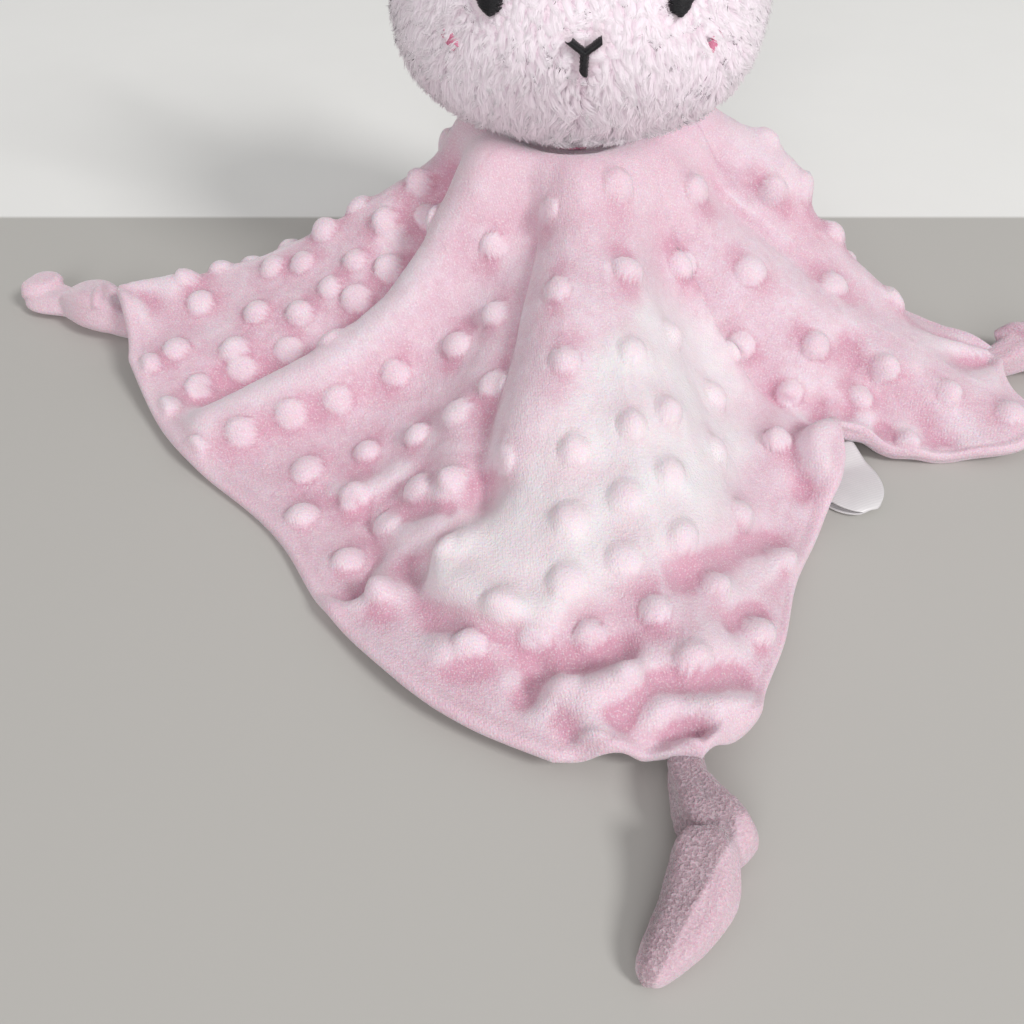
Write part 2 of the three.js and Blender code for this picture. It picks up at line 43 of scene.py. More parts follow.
# Shapes are worked out in millimetres from the neck's axis, with the table at height 0
jointPlaces = {j["name"]: np.array(j["pos_m"]) * 1000 for j in frame["joints"]}
neckAxis = np.array([*jointPlaces["head_turn"][:2], 0])
nodPlace = jointPlaces["head_turn"] - neckAxis


# Numbers and meshes

def mix(a, b, share):
    return a + (b - a) * share


def bell(distance, spread):  # 1 at the middle, falling as a Gaussian
    return np.exp(-(distance / spread) ** 2)


def ease(value, low, high):  # smooth step from 0 at low to 1 at high
    share = np.clip((value - low) / (high - low), 0, 1)
    return share * share * (3 - 2 * share)


def unit(vectors):
    return vectors / np.maximum(np.linalg.norm(vectors, axis=-1, keepdims=True), 1e-9)


def signedPower(value, power):
    return np.sign(value) * np.abs(value) ** power


def softNoise(points, size, seed=0):
    # value noise: hashed numbers from -1 to 1 on a cubic lattice of that size, blended smoothly between
    cell = np.asarray(points) / size
    low = np.floor(cell).astype(np.int64)
    share = cell - low
    share = share * share * (3 - 2 * share)
    total = 0
    for corner in np.ndindex(2, 2, 2):
        key = (low + corner) @ np.array([73856093, 19349663, 83492791]) + seed * 7919
        key = (key ^ (key >> 13)) * 1274126177
        value = ((key ^ (key >> 16)) & 65535) / 32767.5 - 1
        total = total + value * np.prod(np.where(corner, share, 1 - share), axis=-1)
    return total


def gridFaces(rows, columns, loop=False, start=0, flip=False):
    # quads between neighbouring rows and columns of a grid of points
    row, column = np.meshgrid(np.arange(rows - 1), np.arange(columns if loop else columns - 1), indexing="ij")
    after = (column + 1) % columns
    quads = np.stack([row * columns + column, row * columns + after,
                      (row + 1) * columns + after, (row + 1) * columns + column], -1).reshape(-1, 4) + start
    return quads[:, ::-1] if flip else quads


def loopPairs(count):  # numbers round a loop, and the next one for each
    around = np.arange(count)
    return around, (around + 1) % count


def cap(first, second, point):  # triangles from pairs of points to one point
    return np.stack([first, second, np.full(len(first), point)], -1)


def placed(points):  # a flat list of places in metres, for a mesh
    return ((points + neckAxis) * 0.001).astype(np.float32).ravel()


def newObject(name, data):
    item = bpy.data.objects.new(name, data)
    bpy.context.scene.collection.objects.link(item)
    return item


def newPiece(name, points, faces):
    groups = faces if isinstance(faces, list) else [faces]
    mesh = bpy.data.meshes.new(name)
    mesh.vertices.add(len(points))
    mesh.vertices.foreach_set("co", placed(points))
    loops = np.concatenate([g.ravel() for g in groups]).astype(np.int32)
    sizes = np.concatenate([np.full(len(g), g.shape[1]) for g in groups])
    mesh.loops.add(len(loops))
    mesh.loops.foreach_set("vertex_index", loops)
    mesh.polygons.add(len(sizes))
    mesh.polygons.foreach_set("loop_start", np.concatenate([[0], np.cumsum(sizes)[:-1]]).astype(np.int32))
    mesh.polygons.foreach_set("use_smooth", np.full(len(sizes), True))
    mesh.update(calc_edges=True)
    return newObject(name, mesh)


def meshPoints(mesh):
    flat = np.empty(len(mesh.vertices) * 3, np.float32)
    mesh.vertices.foreach_get("co", flat)
    return flat.reshape(-1, 3).astype(float) * 1000 - neckAxis


def paint(piece, name, values):  # one number per vertex, for the materials
    piece.data.attributes.new(name, "FLOAT", "POINT").data.foreach_set("value", values.astype(np.float32))


def spread(piece, name, places):  # UV map from one place per vertex
    loops = np.empty(len(piece.data.loops), np.int32)
    piece.data.loops.foreach_get("vertex_index", loops)
    piece.data.uv_layers.new(name=name).data.foreach_set("uv", places[loops].astype(np.float32).ravel())


def baked(piece, *modifiers):  # the mesh with these modifiers applied, in place of its own
    for kind, settings in modifiers:
        modifier = piece.modifiers.new(kind, kind)
        for key, value in settings.items():
            setattr(modifier, key, value)
    bpy.context.view_layer.update()
    mesh = bpy.data.meshes.new_from_object(piece.evaluated_get(bpy.context.evaluated_depsgraph_get()))
    piece.modifiers.clear()
    piece.data = mesh
    mesh.polygons.foreach_set("use_smooth", np.full(len(mesh.polygons), True))
    return piece


def tubes(paths, radii, sides=6):
    # round tubes: paths is tubes x steps x 3, radii tubes x steps, with a closing point at each end
    tangent = unit(np.gradient(paths, axis=1))
    guide = np.where(np.abs(tangent[..., 2:3]) > 0.9, [1.0, 0, 0], [0, 0, 1.0])
    across = unit(np.cross(tangent, guide))
    up = np.cross(across, tangent)
    turn = np.arange(sides) / sides * 2 * np.pi
    ring = across[:, :, None] * np.cos(turn)[:, None] + up[:, :, None] * np.sin(turn)[:, None]
    count, steps = paths.shape[:2]
    body = (paths[:, :, None] + ring * radii[:, :, None, None]).reshape(count, -1, 3)
    points = np.concatenate([body, paths[:, :1], paths[:, -1:]], 1)
    size = steps * sides + 2
    around, after = loopPairs(sides)
    last = size - 2 - sides
    groups = [gridFaces(steps, sides, loop=True, flip=True), cap(around, after, size - 2),
              cap(last + after, last + around, size - 1)]
    shift = (np.arange(count) * size)[:, None, None]
    return points.reshape(-1, 3), [(group + shift).reshape(-1, group.shape[1]) for group in groups]


def closedBall(grid):  # points and faces of a grid of rings with a point at each end
    rows, columns = grid.shape[:2]
    around, after = loopPairs(columns)
    end = rows * columns
    last = end - columns
    caps = np.concatenate([cap(after, around, end), cap(last + around, last + after, end + 1)])
    points = np.concatenate([grid.reshape(-1, 3), grid[0].mean(0)[None], grid[-1].mean(0)[None]])
    return points, [gridFaces(rows, columns, loop=True), caps]


def slab(name, outer, inner):
    # a closed sheet from two grids of points with four free edges; outer faces outward
    rows, columns = outer.shape[:2]
    size = rows * columns
    grid = np.arange(size).reshape(rows, columns)
    rim = np.concatenate([grid[0, :-1], grid[:-1, -1], grid[-1, :0:-1], grid[:0:-1, 0]])
    after = np.roll(rim, -1)
    faces = [gridFaces(rows, columns), gridFaces(rows, columns, start=size, flip=True),
             np.stack([rim, rim + size, after + size, after], -1)]
    return newPiece(name, np.concatenate([outer.reshape(-1, 3), inner.reshape(-1, 3)]), faces)


# Shader kit

class Wire:  # a socket; the usual operators add Math nodes
    def __init__(self, look, socket):
        self.look, self.socket = look, socket

    def maths(self, operation, *others):
        return self.look.add("ShaderNodeMath", {"operation": operation}, [self, *others])

    def __add__(self, other):
        return self.maths("ADD", other)

    def __sub__(self, other):
        return self.maths("SUBTRACT", other)

    def __rsub__(self, other):
        return self.look.add("ShaderNodeMath", {"operation": "SUBTRACT"}, [other, self])

    def __mul__(self, other):
        return self.maths("MULTIPLY", other)

    def __pow__(self, other):
        return self.maths("POWER", other)

    def clamped(self):  # kept between 0 and 1
        return self.maths("MAXIMUM", 0.0).maths("MINIMUM", 1.0)

    __radd__ = __add__
    __rmul__ = __mul__


class Look:  # a material on one Principled shader
    def __init__(self, name, **fixed):
        self.material = bpy.data.materials.new(name)
        self.material.use_nodes = True
        self.tree = self.material.node_tree
        self.shader = self.tree.nodes["Principled BSDF"]
        for key, value in fixed.items():
            self.shader.inputs[key.replace("_", " ")].default_value = value

    def add(self, kind, settings={}, inputs={}, output=0):
        node = self.tree.nodes.new(kind)
        for key, value in settings.items():
            setattr(node, key, value)
        for key, value in inputs.items() if isinstance(inputs, dict) else enumerate(inputs):
            if isinstance(value, Wire):
                self.tree.links.new(value.socket, node.inputs[key])
            else:
                node.inputs[key].default_value = value
        return Wire(self, node.outputs[output])

    def blend(self, share, first, second):  # colours mixed by share
        first, second = ((*c, 1) if isinstance(c, tuple) and len(c) == 3 else c for c in (first, second))
        return self.add("ShaderNodeMix", {"data_type": "RGBA"}, {0: share, 6: first, 7: second}, 2)

    def noise(self, place, scale, detail=2.0):
        return self.add("ShaderNodeTexNoise", {}, {"Vector": place, "Scale": scale, "Detail": detail})

    def objectPlace(self):
        return self.add("ShaderNodeTexCoord", output="Object")

    def attribute(self, name):
        return self.add("ShaderNodeAttribute", {"attribute_name": name}, output="Fac")

    def feed(self, **wires):
        for key, wire in wires.items():
            self.tree.links.new(wire.socket, self.shader.inputs[key.replace("_", " ")])

    def bump(self, height, distance, strength=1.0):
        inputs = {"Height": height, "Distance": distance, "Strength": strength}
        self.feed(Normal=self.add("ShaderNodeBump", {}, inputs))


clothLook = {
    "deep": (0.71, 0.385, 0.50), "pale": (0.92, 0.78, 0.86), "brushed": (0.99, 0.92, 0.95),
    "brushedDot": (0.92, 0.75, 0.83), "spark": (1.0, 0.96, 0.98), "under": (0.42, 0.30, 0.345),
    "underTips": (0.60, 0.45, 0.51),
    "ribWidth": 0.00085, "ribHeight": 0.00003, "pileScale": 1700.0, "pileHeight": 0.00036,
    "curlScale": 1500.0, "curlHeight": 0.00022,
}
furLook = {
    # the roots colour is painted shade deep in the pile
    "roots": (0.78, 0.63, 0.72), "tips": (0.96, 0.92, 0.96), "mauve": (0.92, 0.83, 0.895),
    "ground": (0.92, 0.79, 0.85),
}


def makeMinky(name, onCloth):
    # short pile: clouds of tone, faint knit ribs, a painted sheen on the flank that faces the light, painted
    # glints on specks of pile, painted shade of deeper pink in hollows and painted light on paler tops; the
    # knots' underside has coarse curls instead
    s = clothLook
    look = Look(name, Sheen_Weight=0.6, Sheen_Roughness=0.45, Sheen_Tint=(1, 0.97, 1, 1),
                Specular_IOR_Level=0.45, Subsurface_Weight=0.35, Subsurface_Radius=(1, 0.3, 0.45),
                Subsurface_Scale=0.0035)
    place = look.objectPlace()
    clouds = look.noise(place, 75.0, 3.0)
    pile = look.noise(place, s["pileScale"], 3.0)
    # painted glints: sparse specks of pile paled towards near white, and made less rough
    speck = ((look.noise(place, s["pileScale"] * 1.5, 1.0) - 0.54) * 6.0).clamped() * 0.42
    shade = clouds * 0.5 + pile * 0.6 - 0.02
    relief = pile * s["pileHeight"]
    if onCloth:
        axis = look.add("ShaderNodeSeparateXYZ", {}, [look.add("ShaderNodeUVMap", {"uv_map": "cloth"})])
        waves = axis * (2 * np.pi / s["ribWidth"]) + look.noise(place, 110.0, 2.0) * 5.0
        ribs = waves.maths("SINE") * 0.5 + 0.5
        # painted shade: hollows of the cloth are pulled towards the deep pink, and the dot tops towards the
        # pale
        shade = shade + ribs * 0.06 - look.attribute("hollow") * 0.9
        relief = relief + ribs * s["ribHeight"]
    colour = look.blend(shade.clamped(), s["deep"], s["pale"])
    if onCloth:
        # painted sheen: the flank that faces the light is paled towards near white, and its dots towards a
        # pinker white
        brushed = look.attribute("brushed")
        colour = look.blend((brushed * (clouds * 0.8 + 0.3)).clamped(), colour, s["brushed"])
        colour = look.blend(brushed * look.attribute("dot") * 0.7, colour, s["brushedDot"])
    colour = look.blend(speck, colour, s["spark"])
    if not onCloth:
        curls = ((look.noise(place, s["curlScale"], 1.0) - 0.42) * 4.5).clamped()
        under = look.attribute("under")
        # the coarse underside's darker mauve: partly the real coarse pile, partly painted shade on the knots
        colour = look.blend(under, colour, look.blend(curls, s["under"], s["underTips"]))
        relief = relief + curls * under * s["curlHeight"]
    look.feed(Base_Color=colour, Roughness=0.82 - speck)
    look.bump(relief, 1.0)
    return look.material


def makeVelour():
    look = Look("velour", Sheen_Weight=0.2, Sheen_Roughness=0.5, Specular_IOR_Level=0.2)
    place = look.objectPlace()
    pile = look.noise(place, 1500.0, 3.0)
    shade = look.noise(place, 60.0) * 0.7 + pile * 0.3
    colour = look.blend(shade, (0.62, 0.42, 0.49), (0.80, 0.62, 0.69))
    look.feed(Base_Color=colour, Roughness=0.95 - pile * 0.12)
    look.bump(pile, 0.0002)
    return look.material


def makePlush():
    # strands darken towards their roots as painted shade, in place of the shadows they do not cast, and
    # differ a little from lock to lock
    look = Look("shaggyPlush", Sheen_Weight=0.5, Sheen_Roughness=0.5, Specular_IOR_Level=0.15)
    along, tint = look.attribute("along"), look.attribute("tint")
    clouds = look.noise(look.objectPlace(), 60.0)
    colour = look.blend(along ** 0.6, furLook["roots"], furLook["tips"])
    colour = look.blend(tint * 0.4 + clouds * 0.15, colour, furLook["mauve"])
    look.feed(Base_Color=colour, Roughness=0.8 - tint * 0.15)
    return look.material


def makeMatt(name, sheen, scale, detail, dark, light, depth):
    # matt fibres: one noise makes the colour and the relief
    look = Look(name, Roughness=0.95, Sheen_Weight=sheen)
    fibres = look.noise(look.objectPlace(), scale, detail)
    look.feed(Base_Color=look.blend(fibres, dark, light))
    look.bump(fibres, depth)
    return look.material


def makeThread(name, dark, light, roughness):
    # twisted thread: fine strands across its colour, and a soft shine
    look = Look(name, Sheen_Weight=0.06, Specular_IOR_Level=0.35)
    place = look.objectPlace()
    strands = look.noise(place, 2600.0, 2.0)
    look.feed(Base_Color=look.blend(strands, dark, light), Roughness=strands * 0.25 + (roughness - 0.12))
    look.bump(strands, 0.00008)
    return look.material


def makeSatin():
    look = Look("satin", Specular_IOR_Level=0.6, Sheen_Weight=0.1)
    run = look.add("ShaderNodeUVMap", {"uv_map": "cloth"})
    axis = look.add("ShaderNodeSeparateXYZ", {}, [run])
    weft = (axis * 9000.0).maths("SINE") * 0.5 + 0.5
    clouds = look.noise(look.objectPlace(), 200.0)
    colour = look.blend(clouds * 0.6 + weft * 0.3, (0.70, 0.68, 0.70), (0.84, 0.82, 0.835))
    look.feed(Base_Color=colour, Roughness=clouds * 0.12 + 0.3)
    look.bump(weft, 0.00003)
    return look.material


looks = {
    "minky": makeMinky("dottedMinky", True), "knotMinky": makeMinky("knottedMinky", False),
    "velour": makeVelour(), "plush": makePlush(), "satin": makeSatin(),
    "backing": makeMatt("plushGround", 0.2, 700.0, 3.0, furLook["ground"], furLook["mauve"], 0.0006),
    "fibre": makeMatt("fibreFill", 0.3, 300.0, 4.0, (0.72, 0.70, 0.68), (0.92, 0.91, 0.90), 0.001),
    "black": makeThread("blackThread", (0.004, 0.004, 0.005), (0.016, 0.016, 0.02), 0.46),
    "white": makeThread("whiteThread", (0.72, 0.74, 0.78), (0.93, 0.94, 0.96), 0.42),
    "pink": makeThread("pinkThread", (0.62, 0.16, 0.30), (0.85, 0.36, 0.50), 0.45),
}
print("materials made")


def dress(piece, body, nodes, look):
    piece.data.materials.clear()
    piece.data.materials.append(looks[look])
    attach(piece, body)
    if nodes:
        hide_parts(*nodes)
    return piece


# Camera, needed first because the dots are placed in its frame

view = {"place": (-17.0, -286.0, 190.0), "down": 45.0, "focal": 1027.0, "frame": 1024.0}


def photoPlace(points):  # where points fall in the photograph, and how deep they lie
    down = np.radians(view["down"])
    away = points - np.array(view["place"])
    depth = away[..., 1] * np.cos(down) - away[..., 2] * np.sin(down)
    height = away[..., 1] * np.sin(down) + away[..., 2] * np.cos(down)
    half = view["frame"] / 2
    across, up = view["focal"] * away[..., 0] / depth, view["focal"] * height / depth
    return np.stack([half + across, half - up, depth], -1)


def seenIndex(points, x, y):
    # the point of a surface that shows at a pixel: the nearest to the camera there
    seen = photoPlace(points)
    off = np.hypot(seen[:, 0] - x, seen[:, 1] - y)
    near = off < max(5, off.min() + 1)
    front = near & (seen[:, 2] < seen[near, 2].min() + 4)
    return int(np.argmin(np.where(front, off, 1e9)))


# Blanket
drape = {
    "reach": 200.0, "crown": 52.6, "crownRadius": 27.0, "footCut": 0.5, "valleyPower": 2.1, "hemEnd": 0.09,
    "corners": {
        "right": (0.64, -0.2, 9, 1, 0.07), "back": (0.03, 0.48, 82, 1, 0.09),
        "left": (-0.69, -0.085, 150, 0.82, -0.045), "front": (0.105, -0.88, -93, 0.93, -0.23),
    },
    # Swells of the hem on each side as place, span and out; the last of a side trim it to the photograph
    "swells": [
        [(0.5, 0.3, -0.055)],
        [(0.5, 0.3, -0.05)],
        [(0.28, 0.24, 0.095), (0.74, 0.26, 0.14), (0.58, 0.08, 0.014)],
        [(0.06, 0.07, 0.02), (0.56, 0.17, -0.075), (0.63, 0.045, -0.065), (0.85, 0.11, 0.095),
         (0.34, 0.11, -0.03), (0.77, 0.09, 0.014)],
    ],
    # Folds as angle, bend, left, right, height, end, shoulder and fall
    "folds": [
        (184, 3, 16, 15, 0.18, 1, 0.92, 1.4), (217, -1, 12, 11, 0, 1, 1, 1.4),
        (257, -1, 17, 7, 0.067, 0.9, 1.15, 1.15), (281, -3, 15, 15, 0.076, 1, 1.15, 1.2),
        (318, 6, 14, 12, 0, 1, 1.3, 1.8), (376, -32, 17, 22, 0.133, 1, 2.1, 1.75),
        (395, -14, 11, 11, 0.08, 1, 1.6, 1.7), (50, 2, 11, 10, 0, 1, 1.1, 1.6),
        (88, 0, 15, 15, 0.124, 1, 1.1, 1.5), (138, -3, 12, 12, 0, 1, 1, 1.5),
    ],
    # Lifts as x, y, spread and rise
    "lifts": [
        (0.32, -0.415, 0.07, 0.065), (0.59, -0.18, 0.045, 0.025), (0.3, 0.055, 0.125, 0.0675),
        (-0.2, 0.03, 0.09, 0.02), (0.015, -0.8, 0.04, 0.02), (0.12, -0.76, 0.04, 0.0225),
    ],
}
cornerNames = list(drape["corners"])
cornerPlaces = np.array([drape["corners"][n][:2] for n in cornerNames]) * drape["reach"]

# Folds and creases read off the photograph: height in mm, half width on the neck's side and on the
# hem's side in mm, and the pixels that the line runs through
foldLines = [
    (6.6, 10, 9, [(520, 165), (470, 215), (440, 262), (408, 305), (370, 343), (325, 372), (270, 398),
                  (215, 424)]),
    (-8.0, 7, 7, [(448, 165), (425, 205), (400, 248), (372, 284), (338, 312), (305, 337), (262, 362),
                  (215, 386)]),
    (-7.0, 7.5, 7.5, [(532, 190), (526, 225), (512, 268), (500, 310), (490, 352), (476, 400), (470, 440),
                      (472, 480)]),
    (3.2, 11, 11, [(590, 165), (584, 230), (574, 300), (556, 350), (540, 410)]),
    (-1.6, 5, 5, [(600, 175), (612, 215), (618, 250)]),
    (-3.4, 6, 6, [(472, 480), (466, 505), (448, 528), (424, 556)]),
    (3.2, 4.6, 4.6, [(462, 536), (440, 562), (446, 586), (466, 599), (494, 608), (524, 614), (552, 614)]),
    (3.0, 12, 12, [(566, 560), (520, 572), (484, 578)]),
    (2.2, 6, 3, [(345, 497), (370, 489), (394, 477)]),
    (-2.0, 3, 3, [(392, 512), (418, 509), (438, 504)]),
    (-3.4, 5, 5, [(346, 508), (353, 535), (361, 560), (358, 586)]),
    (-2.6, 4.5, 4.5, [(408, 562), (414, 592), (438, 616), (472, 630), (512, 640)]),
    (-3.2, 4, 4, [(335, 562), (338, 582), (350, 590)]),
    (2.2, 5, 5, [(338, 606), (350, 600)]),
    (3.0, 6, 6, [(372, 584), (392, 594)]),
    (3.4, 6, 4, [(445, 650), (470, 642), (500, 640), (528, 644)]),
    (-4.6, 4.2, 4.2, [(534, 655), (536, 674), (526, 695)]),
    (-3.8, 4, 4, [(574, 668), (598, 658), (622, 652)]),
    (3.2, 7, 5, [(540, 700), (560, 688), (584, 694), (606, 684), (636, 674)]),
    (-5.0, 4.4, 4.4, [(652, 684), (640, 700), (626, 722)]),
    (-3.8, 4, 4, [(684, 686), (712, 682), (744, 674)]),
    (5.2, 7, 6, [(618, 738), (640, 720), (662, 704), (684, 701), (698, 714)]),
    (2.6, 5, 5, [(706, 712), (730, 706), (750, 712)]),
    (-4.4, 3.2, 3.2, [(646, 762), (652, 748), (668, 739), (694, 734)]),
    (3.2, 3.6, 3.6, [(655, 768), (676, 755), (702, 756), (722, 768)]),
    (-1.8, 3, 3, [(574, 742), (583, 756)]),
    (-3.6, 5, 5, [(688, 570), (718, 561), (748, 549), (776, 540)]),
    (2.6, 5, 5, [(762, 562), (784, 552)]),
    (-1.8, 2.6, 2.6, [(735, 621), (747, 613), (761, 611)]),
    (-3.0, 4, 4, [(808, 486), (798, 458), (794, 436), (802, 416), (826, 406), (852, 410)]),
    (2.0, 4, 4, [(830, 478), (816, 458), (811, 438), (816, 428), (834, 426), (858, 436), (884, 450)]),
    (-3.2, 5.5, 5.5, [(852, 345), (858, 372), (876, 388), (904, 399), (928, 416), (944, 438)]),
    (-2.4, 4, 4, [(884, 428), (892, 446)]),
    (4.5, 9, 9, [(142, 304), (156, 300), (170, 296)]),
    (7.5, 12, 12, [(702, 142), (735, 152), (775, 178)]),
    (-5.0, 10, 10, [(925, 300), (955, 315), (990, 340)]),
    (-2.0, 6, 6, [(470, 142), (505, 150), (536, 142)]),
]

# Centres of the dots that the photograph shows, read off its enlargements
dotPixels = [
    (175, 349), (236, 351), (199, 389), (166, 407), (241, 431), (292, 416), (193, 451), (200, 304),
    (255, 313), (149, 365), (302, 263), (328, 288), (355, 260), (385, 221), (420, 183), (299, 314),
    (327, 335), (290, 351), (241, 371), (356, 301), (390, 267), (324, 230), (355, 200), (339, 398),
    (397, 372), (417, 435), (368, 453), (188, 279), (220, 267), (272, 268), (427, 220), (306, 469),
    (302, 516), (354, 500), (417, 490), (391, 523), (443, 545), (349, 560), (379, 588), (455, 480),
    (467, 644), (492, 247), (548, 212), (556, 288), (496, 316), (457, 346), (495, 388), (456, 414),
    (502, 461), (620, 188), (696, 190), (629, 272), (681, 266), (671, 333), (633, 353), (565, 362),
    (630, 425), (668, 409), (575, 448), (671, 472), (717, 450), (625, 498), (571, 515), (713, 395),
    (500, 602), (565, 580), (625, 560), (682, 536), (742, 515), (716, 584), (590, 636), (657, 612),
    (535, 642), (563, 682), (632, 668), (696, 660), (758, 630), (783, 557), (592, 750), (752, 272),
    (833, 286), (740, 347), (816, 346), (884, 367), (951, 392), (908, 440), (860, 398), (789, 393),
    (777, 439), (772, 190), (1013, 413), (900, 296), (768, 136), (805, 188), (842, 224),
]
# Outline of the pale flank that faces the light, where a painted sheen pales the pile
sheenOutline = [
    (650, 290), (716, 320), (748, 384), (752, 452), (718, 518), (650, 572), (578, 612), (505, 624),
    (446, 604), (422, 574), (436, 544), (478, 508), (516, 470), (560, 410), (604, 338),
]

blanket = {
    # The sides of the hem that the photograph sees lie between two numbers, and their columns are closer
    "columns": 656, "seen": (1.95, 3.95), "seenWeight": 1.9, "rings": 104, "hiddenStep": 5,
    "liningThick": 1.45, "topUnder": 1.75, "topOver": 4.1, "rollRadius": 2.1, "underHem": 3.2,
    "dotRadius": 4.2, "dotHeight": 2.7, "domePowers": (2.3, 0.8), "dotSpacing": 16.4, "dotClear": 13.5,
    "hemClear": 6.5, "neckClear": 30.0, "pile": 0.14, "pileSize": 1.7, "brushedEdge": 44.0,
    "cornerUpright": 16.0, "heightPasses": 16, "normalPasses": 110, "hollowPasses": 26, "hollowDepth": 0.9,
    # The stitched groove as depth, place and width; the dip between dots as depth, start and end; the ring
    # under the chin as height, radius and width
    "groove": (0.12, 4.4, 0.7), "pucker": (0.55, 3.5, 8.5), "crownSwell": (7.4, 26.0, 11.0),
    # Unevenness as size, seed and height; gathers round the knots as height, place and width; the corners'
    # rise as height and width
    "uneven": [(32, 3, 0.9), (14, 5, 0.55), (6, 6, 0.14)], "gather": (1.5, 13, 9), "cornerRise": (2.6, 10),
}
# Distances of the last rings from the hem
hemInsets = [6, 5.2, 4.6, 4.1, 3.6, 3.0, 2.4, 1.8, 1.3, 0.85, 0.5, 0.22, 0]


def hemPlace(side):
    # between two corners the hem is a straight line plus Gaussian swells square to it, faded near the knots
    side = np.asarray(side, float) % 4
    index = np.floor(side).astype(int)
    share = side - index
    first, second = cornerPlaces[index], cornerPlaces[(index + 1) % 4]
    run = second - first
    across = np.stack([run[..., 1], -run[..., 0]], -1) / np.linalg.norm(run, axis=-1, keepdims=True)
    ends = np.minimum(1, share * (1 - share) / drape["hemEnd"])
    out = np.zeros_like(share)
    for number, swells in enumerate(drape["swells"]):
        for place, span, far in swells:
            out += (index == number) * ends * far * drape["reach"] * bell(share - place, span)
    return first + run * share[..., None] + across * out[..., None]


def drapeHeight(x, y, hemRadius):
    # valleys fall as a power of the way out; each fold is a crest over them, a Gaussian of the angle wide
    out = np.clip((np.hypot(x, y) - drape["crownRadius"]) / (hemRadius - drape["crownRadius"]), 0, 1)
    valley = mix(-drape["footCut"], drape["crown"], (1 - out) ** drape["valleyPower"])
    crests, weights = 0, 0
    for angle, bend, left, right, height, end, shoulder, fall in drape["folds"]:
        aside = np.arctan2(y, x) - np.radians(angle + bend * out)
        turn = np.arctan2(np.sin(aside), np.cos(aside))
        weight = bell(turn, np.radians(np.where(turn > 0, left, right)))
        fallen = np.minimum(1, out / end) ** shoulder
        crest = drape["crown"] * mix(height, 1, (1 - fallen) ** fall)
        crests = crests + weight * np.maximum(0, crest - valley)
        weights = weights + weight
    height = valley + crests / np.maximum(1, weights)
    for liftX, liftY, width, rise in np.array(drape["lifts"]) * drape["reach"]:
        height = height + rise * bell(np.hypot(x - liftX, y - liftY), width)
    return height


def hemSides(columns, seenWeight):
    # sides evenly spaced along the hem's length, closer by the weight where the photograph sees them
    fine = np.linspace(0, 4, 8001)
    low, high = blanket["seen"]
    middle = (fine[1:] + fine[:-1]) / 2
    weight = mix(1, seenWeight, ease(middle, low - 0.2, low) * (1 - ease(middle, high, high + 0.04)))
    steps = np.linalg.norm(np.diff(hemPlace(fine), axis=0), axis=1) * weight
    walked = np.concatenate([[0], np.cumsum(steps)])
    return np.interp(np.arange(columns) / columns * walked[-1], walked, fine)


def blurred(grid):  # rings of values drawn halfway to the average of their neighbours
    wide = np.concatenate([grid[:1], grid, grid[-1:]])
    around = np.roll(grid, 1, 1) + np.roll(grid, -1, 1)
    return grid * 0.5 + around * 0.125 + (wide[2:] + wide[:-2]) * 0.125


def evened(grid, passes):  # blurred so often, with the first and last ring held
    for number in range(passes):
        grid = np.concatenate([grid[:1], blurred(grid)[1:-1], grid[-1:]])
    return grid


def blanketGrid(sides, shares, insets, passes):
    # rays from the neck to the hem, first by shares of the way, then by distances short of the hem
    hem = hemPlace(sides)
    radius = np.linalg.norm(hem, axis=1)
    inner = np.array(shares)[:, None] * (1 - (insets[0] + 1) / radius)
    shareGrid = np.concatenate([inner, 1 - np.array(insets)[:, None] / radius])
    x, y = shareGrid * hem[:, 0], shareGrid * hem[:, 1]
    base = np.stack([x, y, evened(drapeHeight(x, y, radius), passes)], -1)
    normal = unit(np.cross(np.gradient(base, axis=0), np.roll(base, -1, 1) - np.roll(base, 1, 1)))
    for number in range(blanket["normalPasses"]):  # so that thick layers don't cross in the valleys
        normal = blurred(normal)
    toCorner = np.min([np.hypot(x - place[0], y - place[1]) for place in cornerPlaces], axis=0)
    upright = np.maximum(bell(toCorner, blanket["cornerUpright"]), np.hypot(x, y) < 6)[..., None]
    normal = unit(mix(unit(normal), np.array([0, 0, 1.0]), upright))
    return base, normal, (1 - shareGrid) * radius


def lineOff(places, line):
    # distance to a line of points, and a share from 1 on the neck's side to 0 on the other
    best = np.full(len(places), 1e9)
    inside = np.zeros(len(places))
    fromNeck = np.linalg.norm(places[:, :2], axis=1)
    for start, end in zip(line[:-1], line[1:]):
        run = end - start
        share = np.clip((places - start) @ run / (run @ run), 0, 1)
        nearest = start + share[:, None] * run
        off = np.linalg.norm(places - nearest, axis=1)
        closer = off < best
        best = np.where(closer, off, best)
        nearer = (np.linalg.norm(nearest[:, :2], axis=1) - fromNeck) / np.maximum(off, 1e-6)
        inside = np.where(closer, ease(nearer, -0.8, 0.8), inside)
    return best, inside


def onCloth(pixels):
    return guide[[seenIndex(guide, *pixel) for pixel in pixels]]


def crownSwell(fromNeck):  # a soft ring that the head's pile rests on, by distance from the neck's axis
    height, radius, width = blanket["crownSwell"]
    return height * bell(fromNeck - radius, width) * ease(fromNeck, 9, 17)


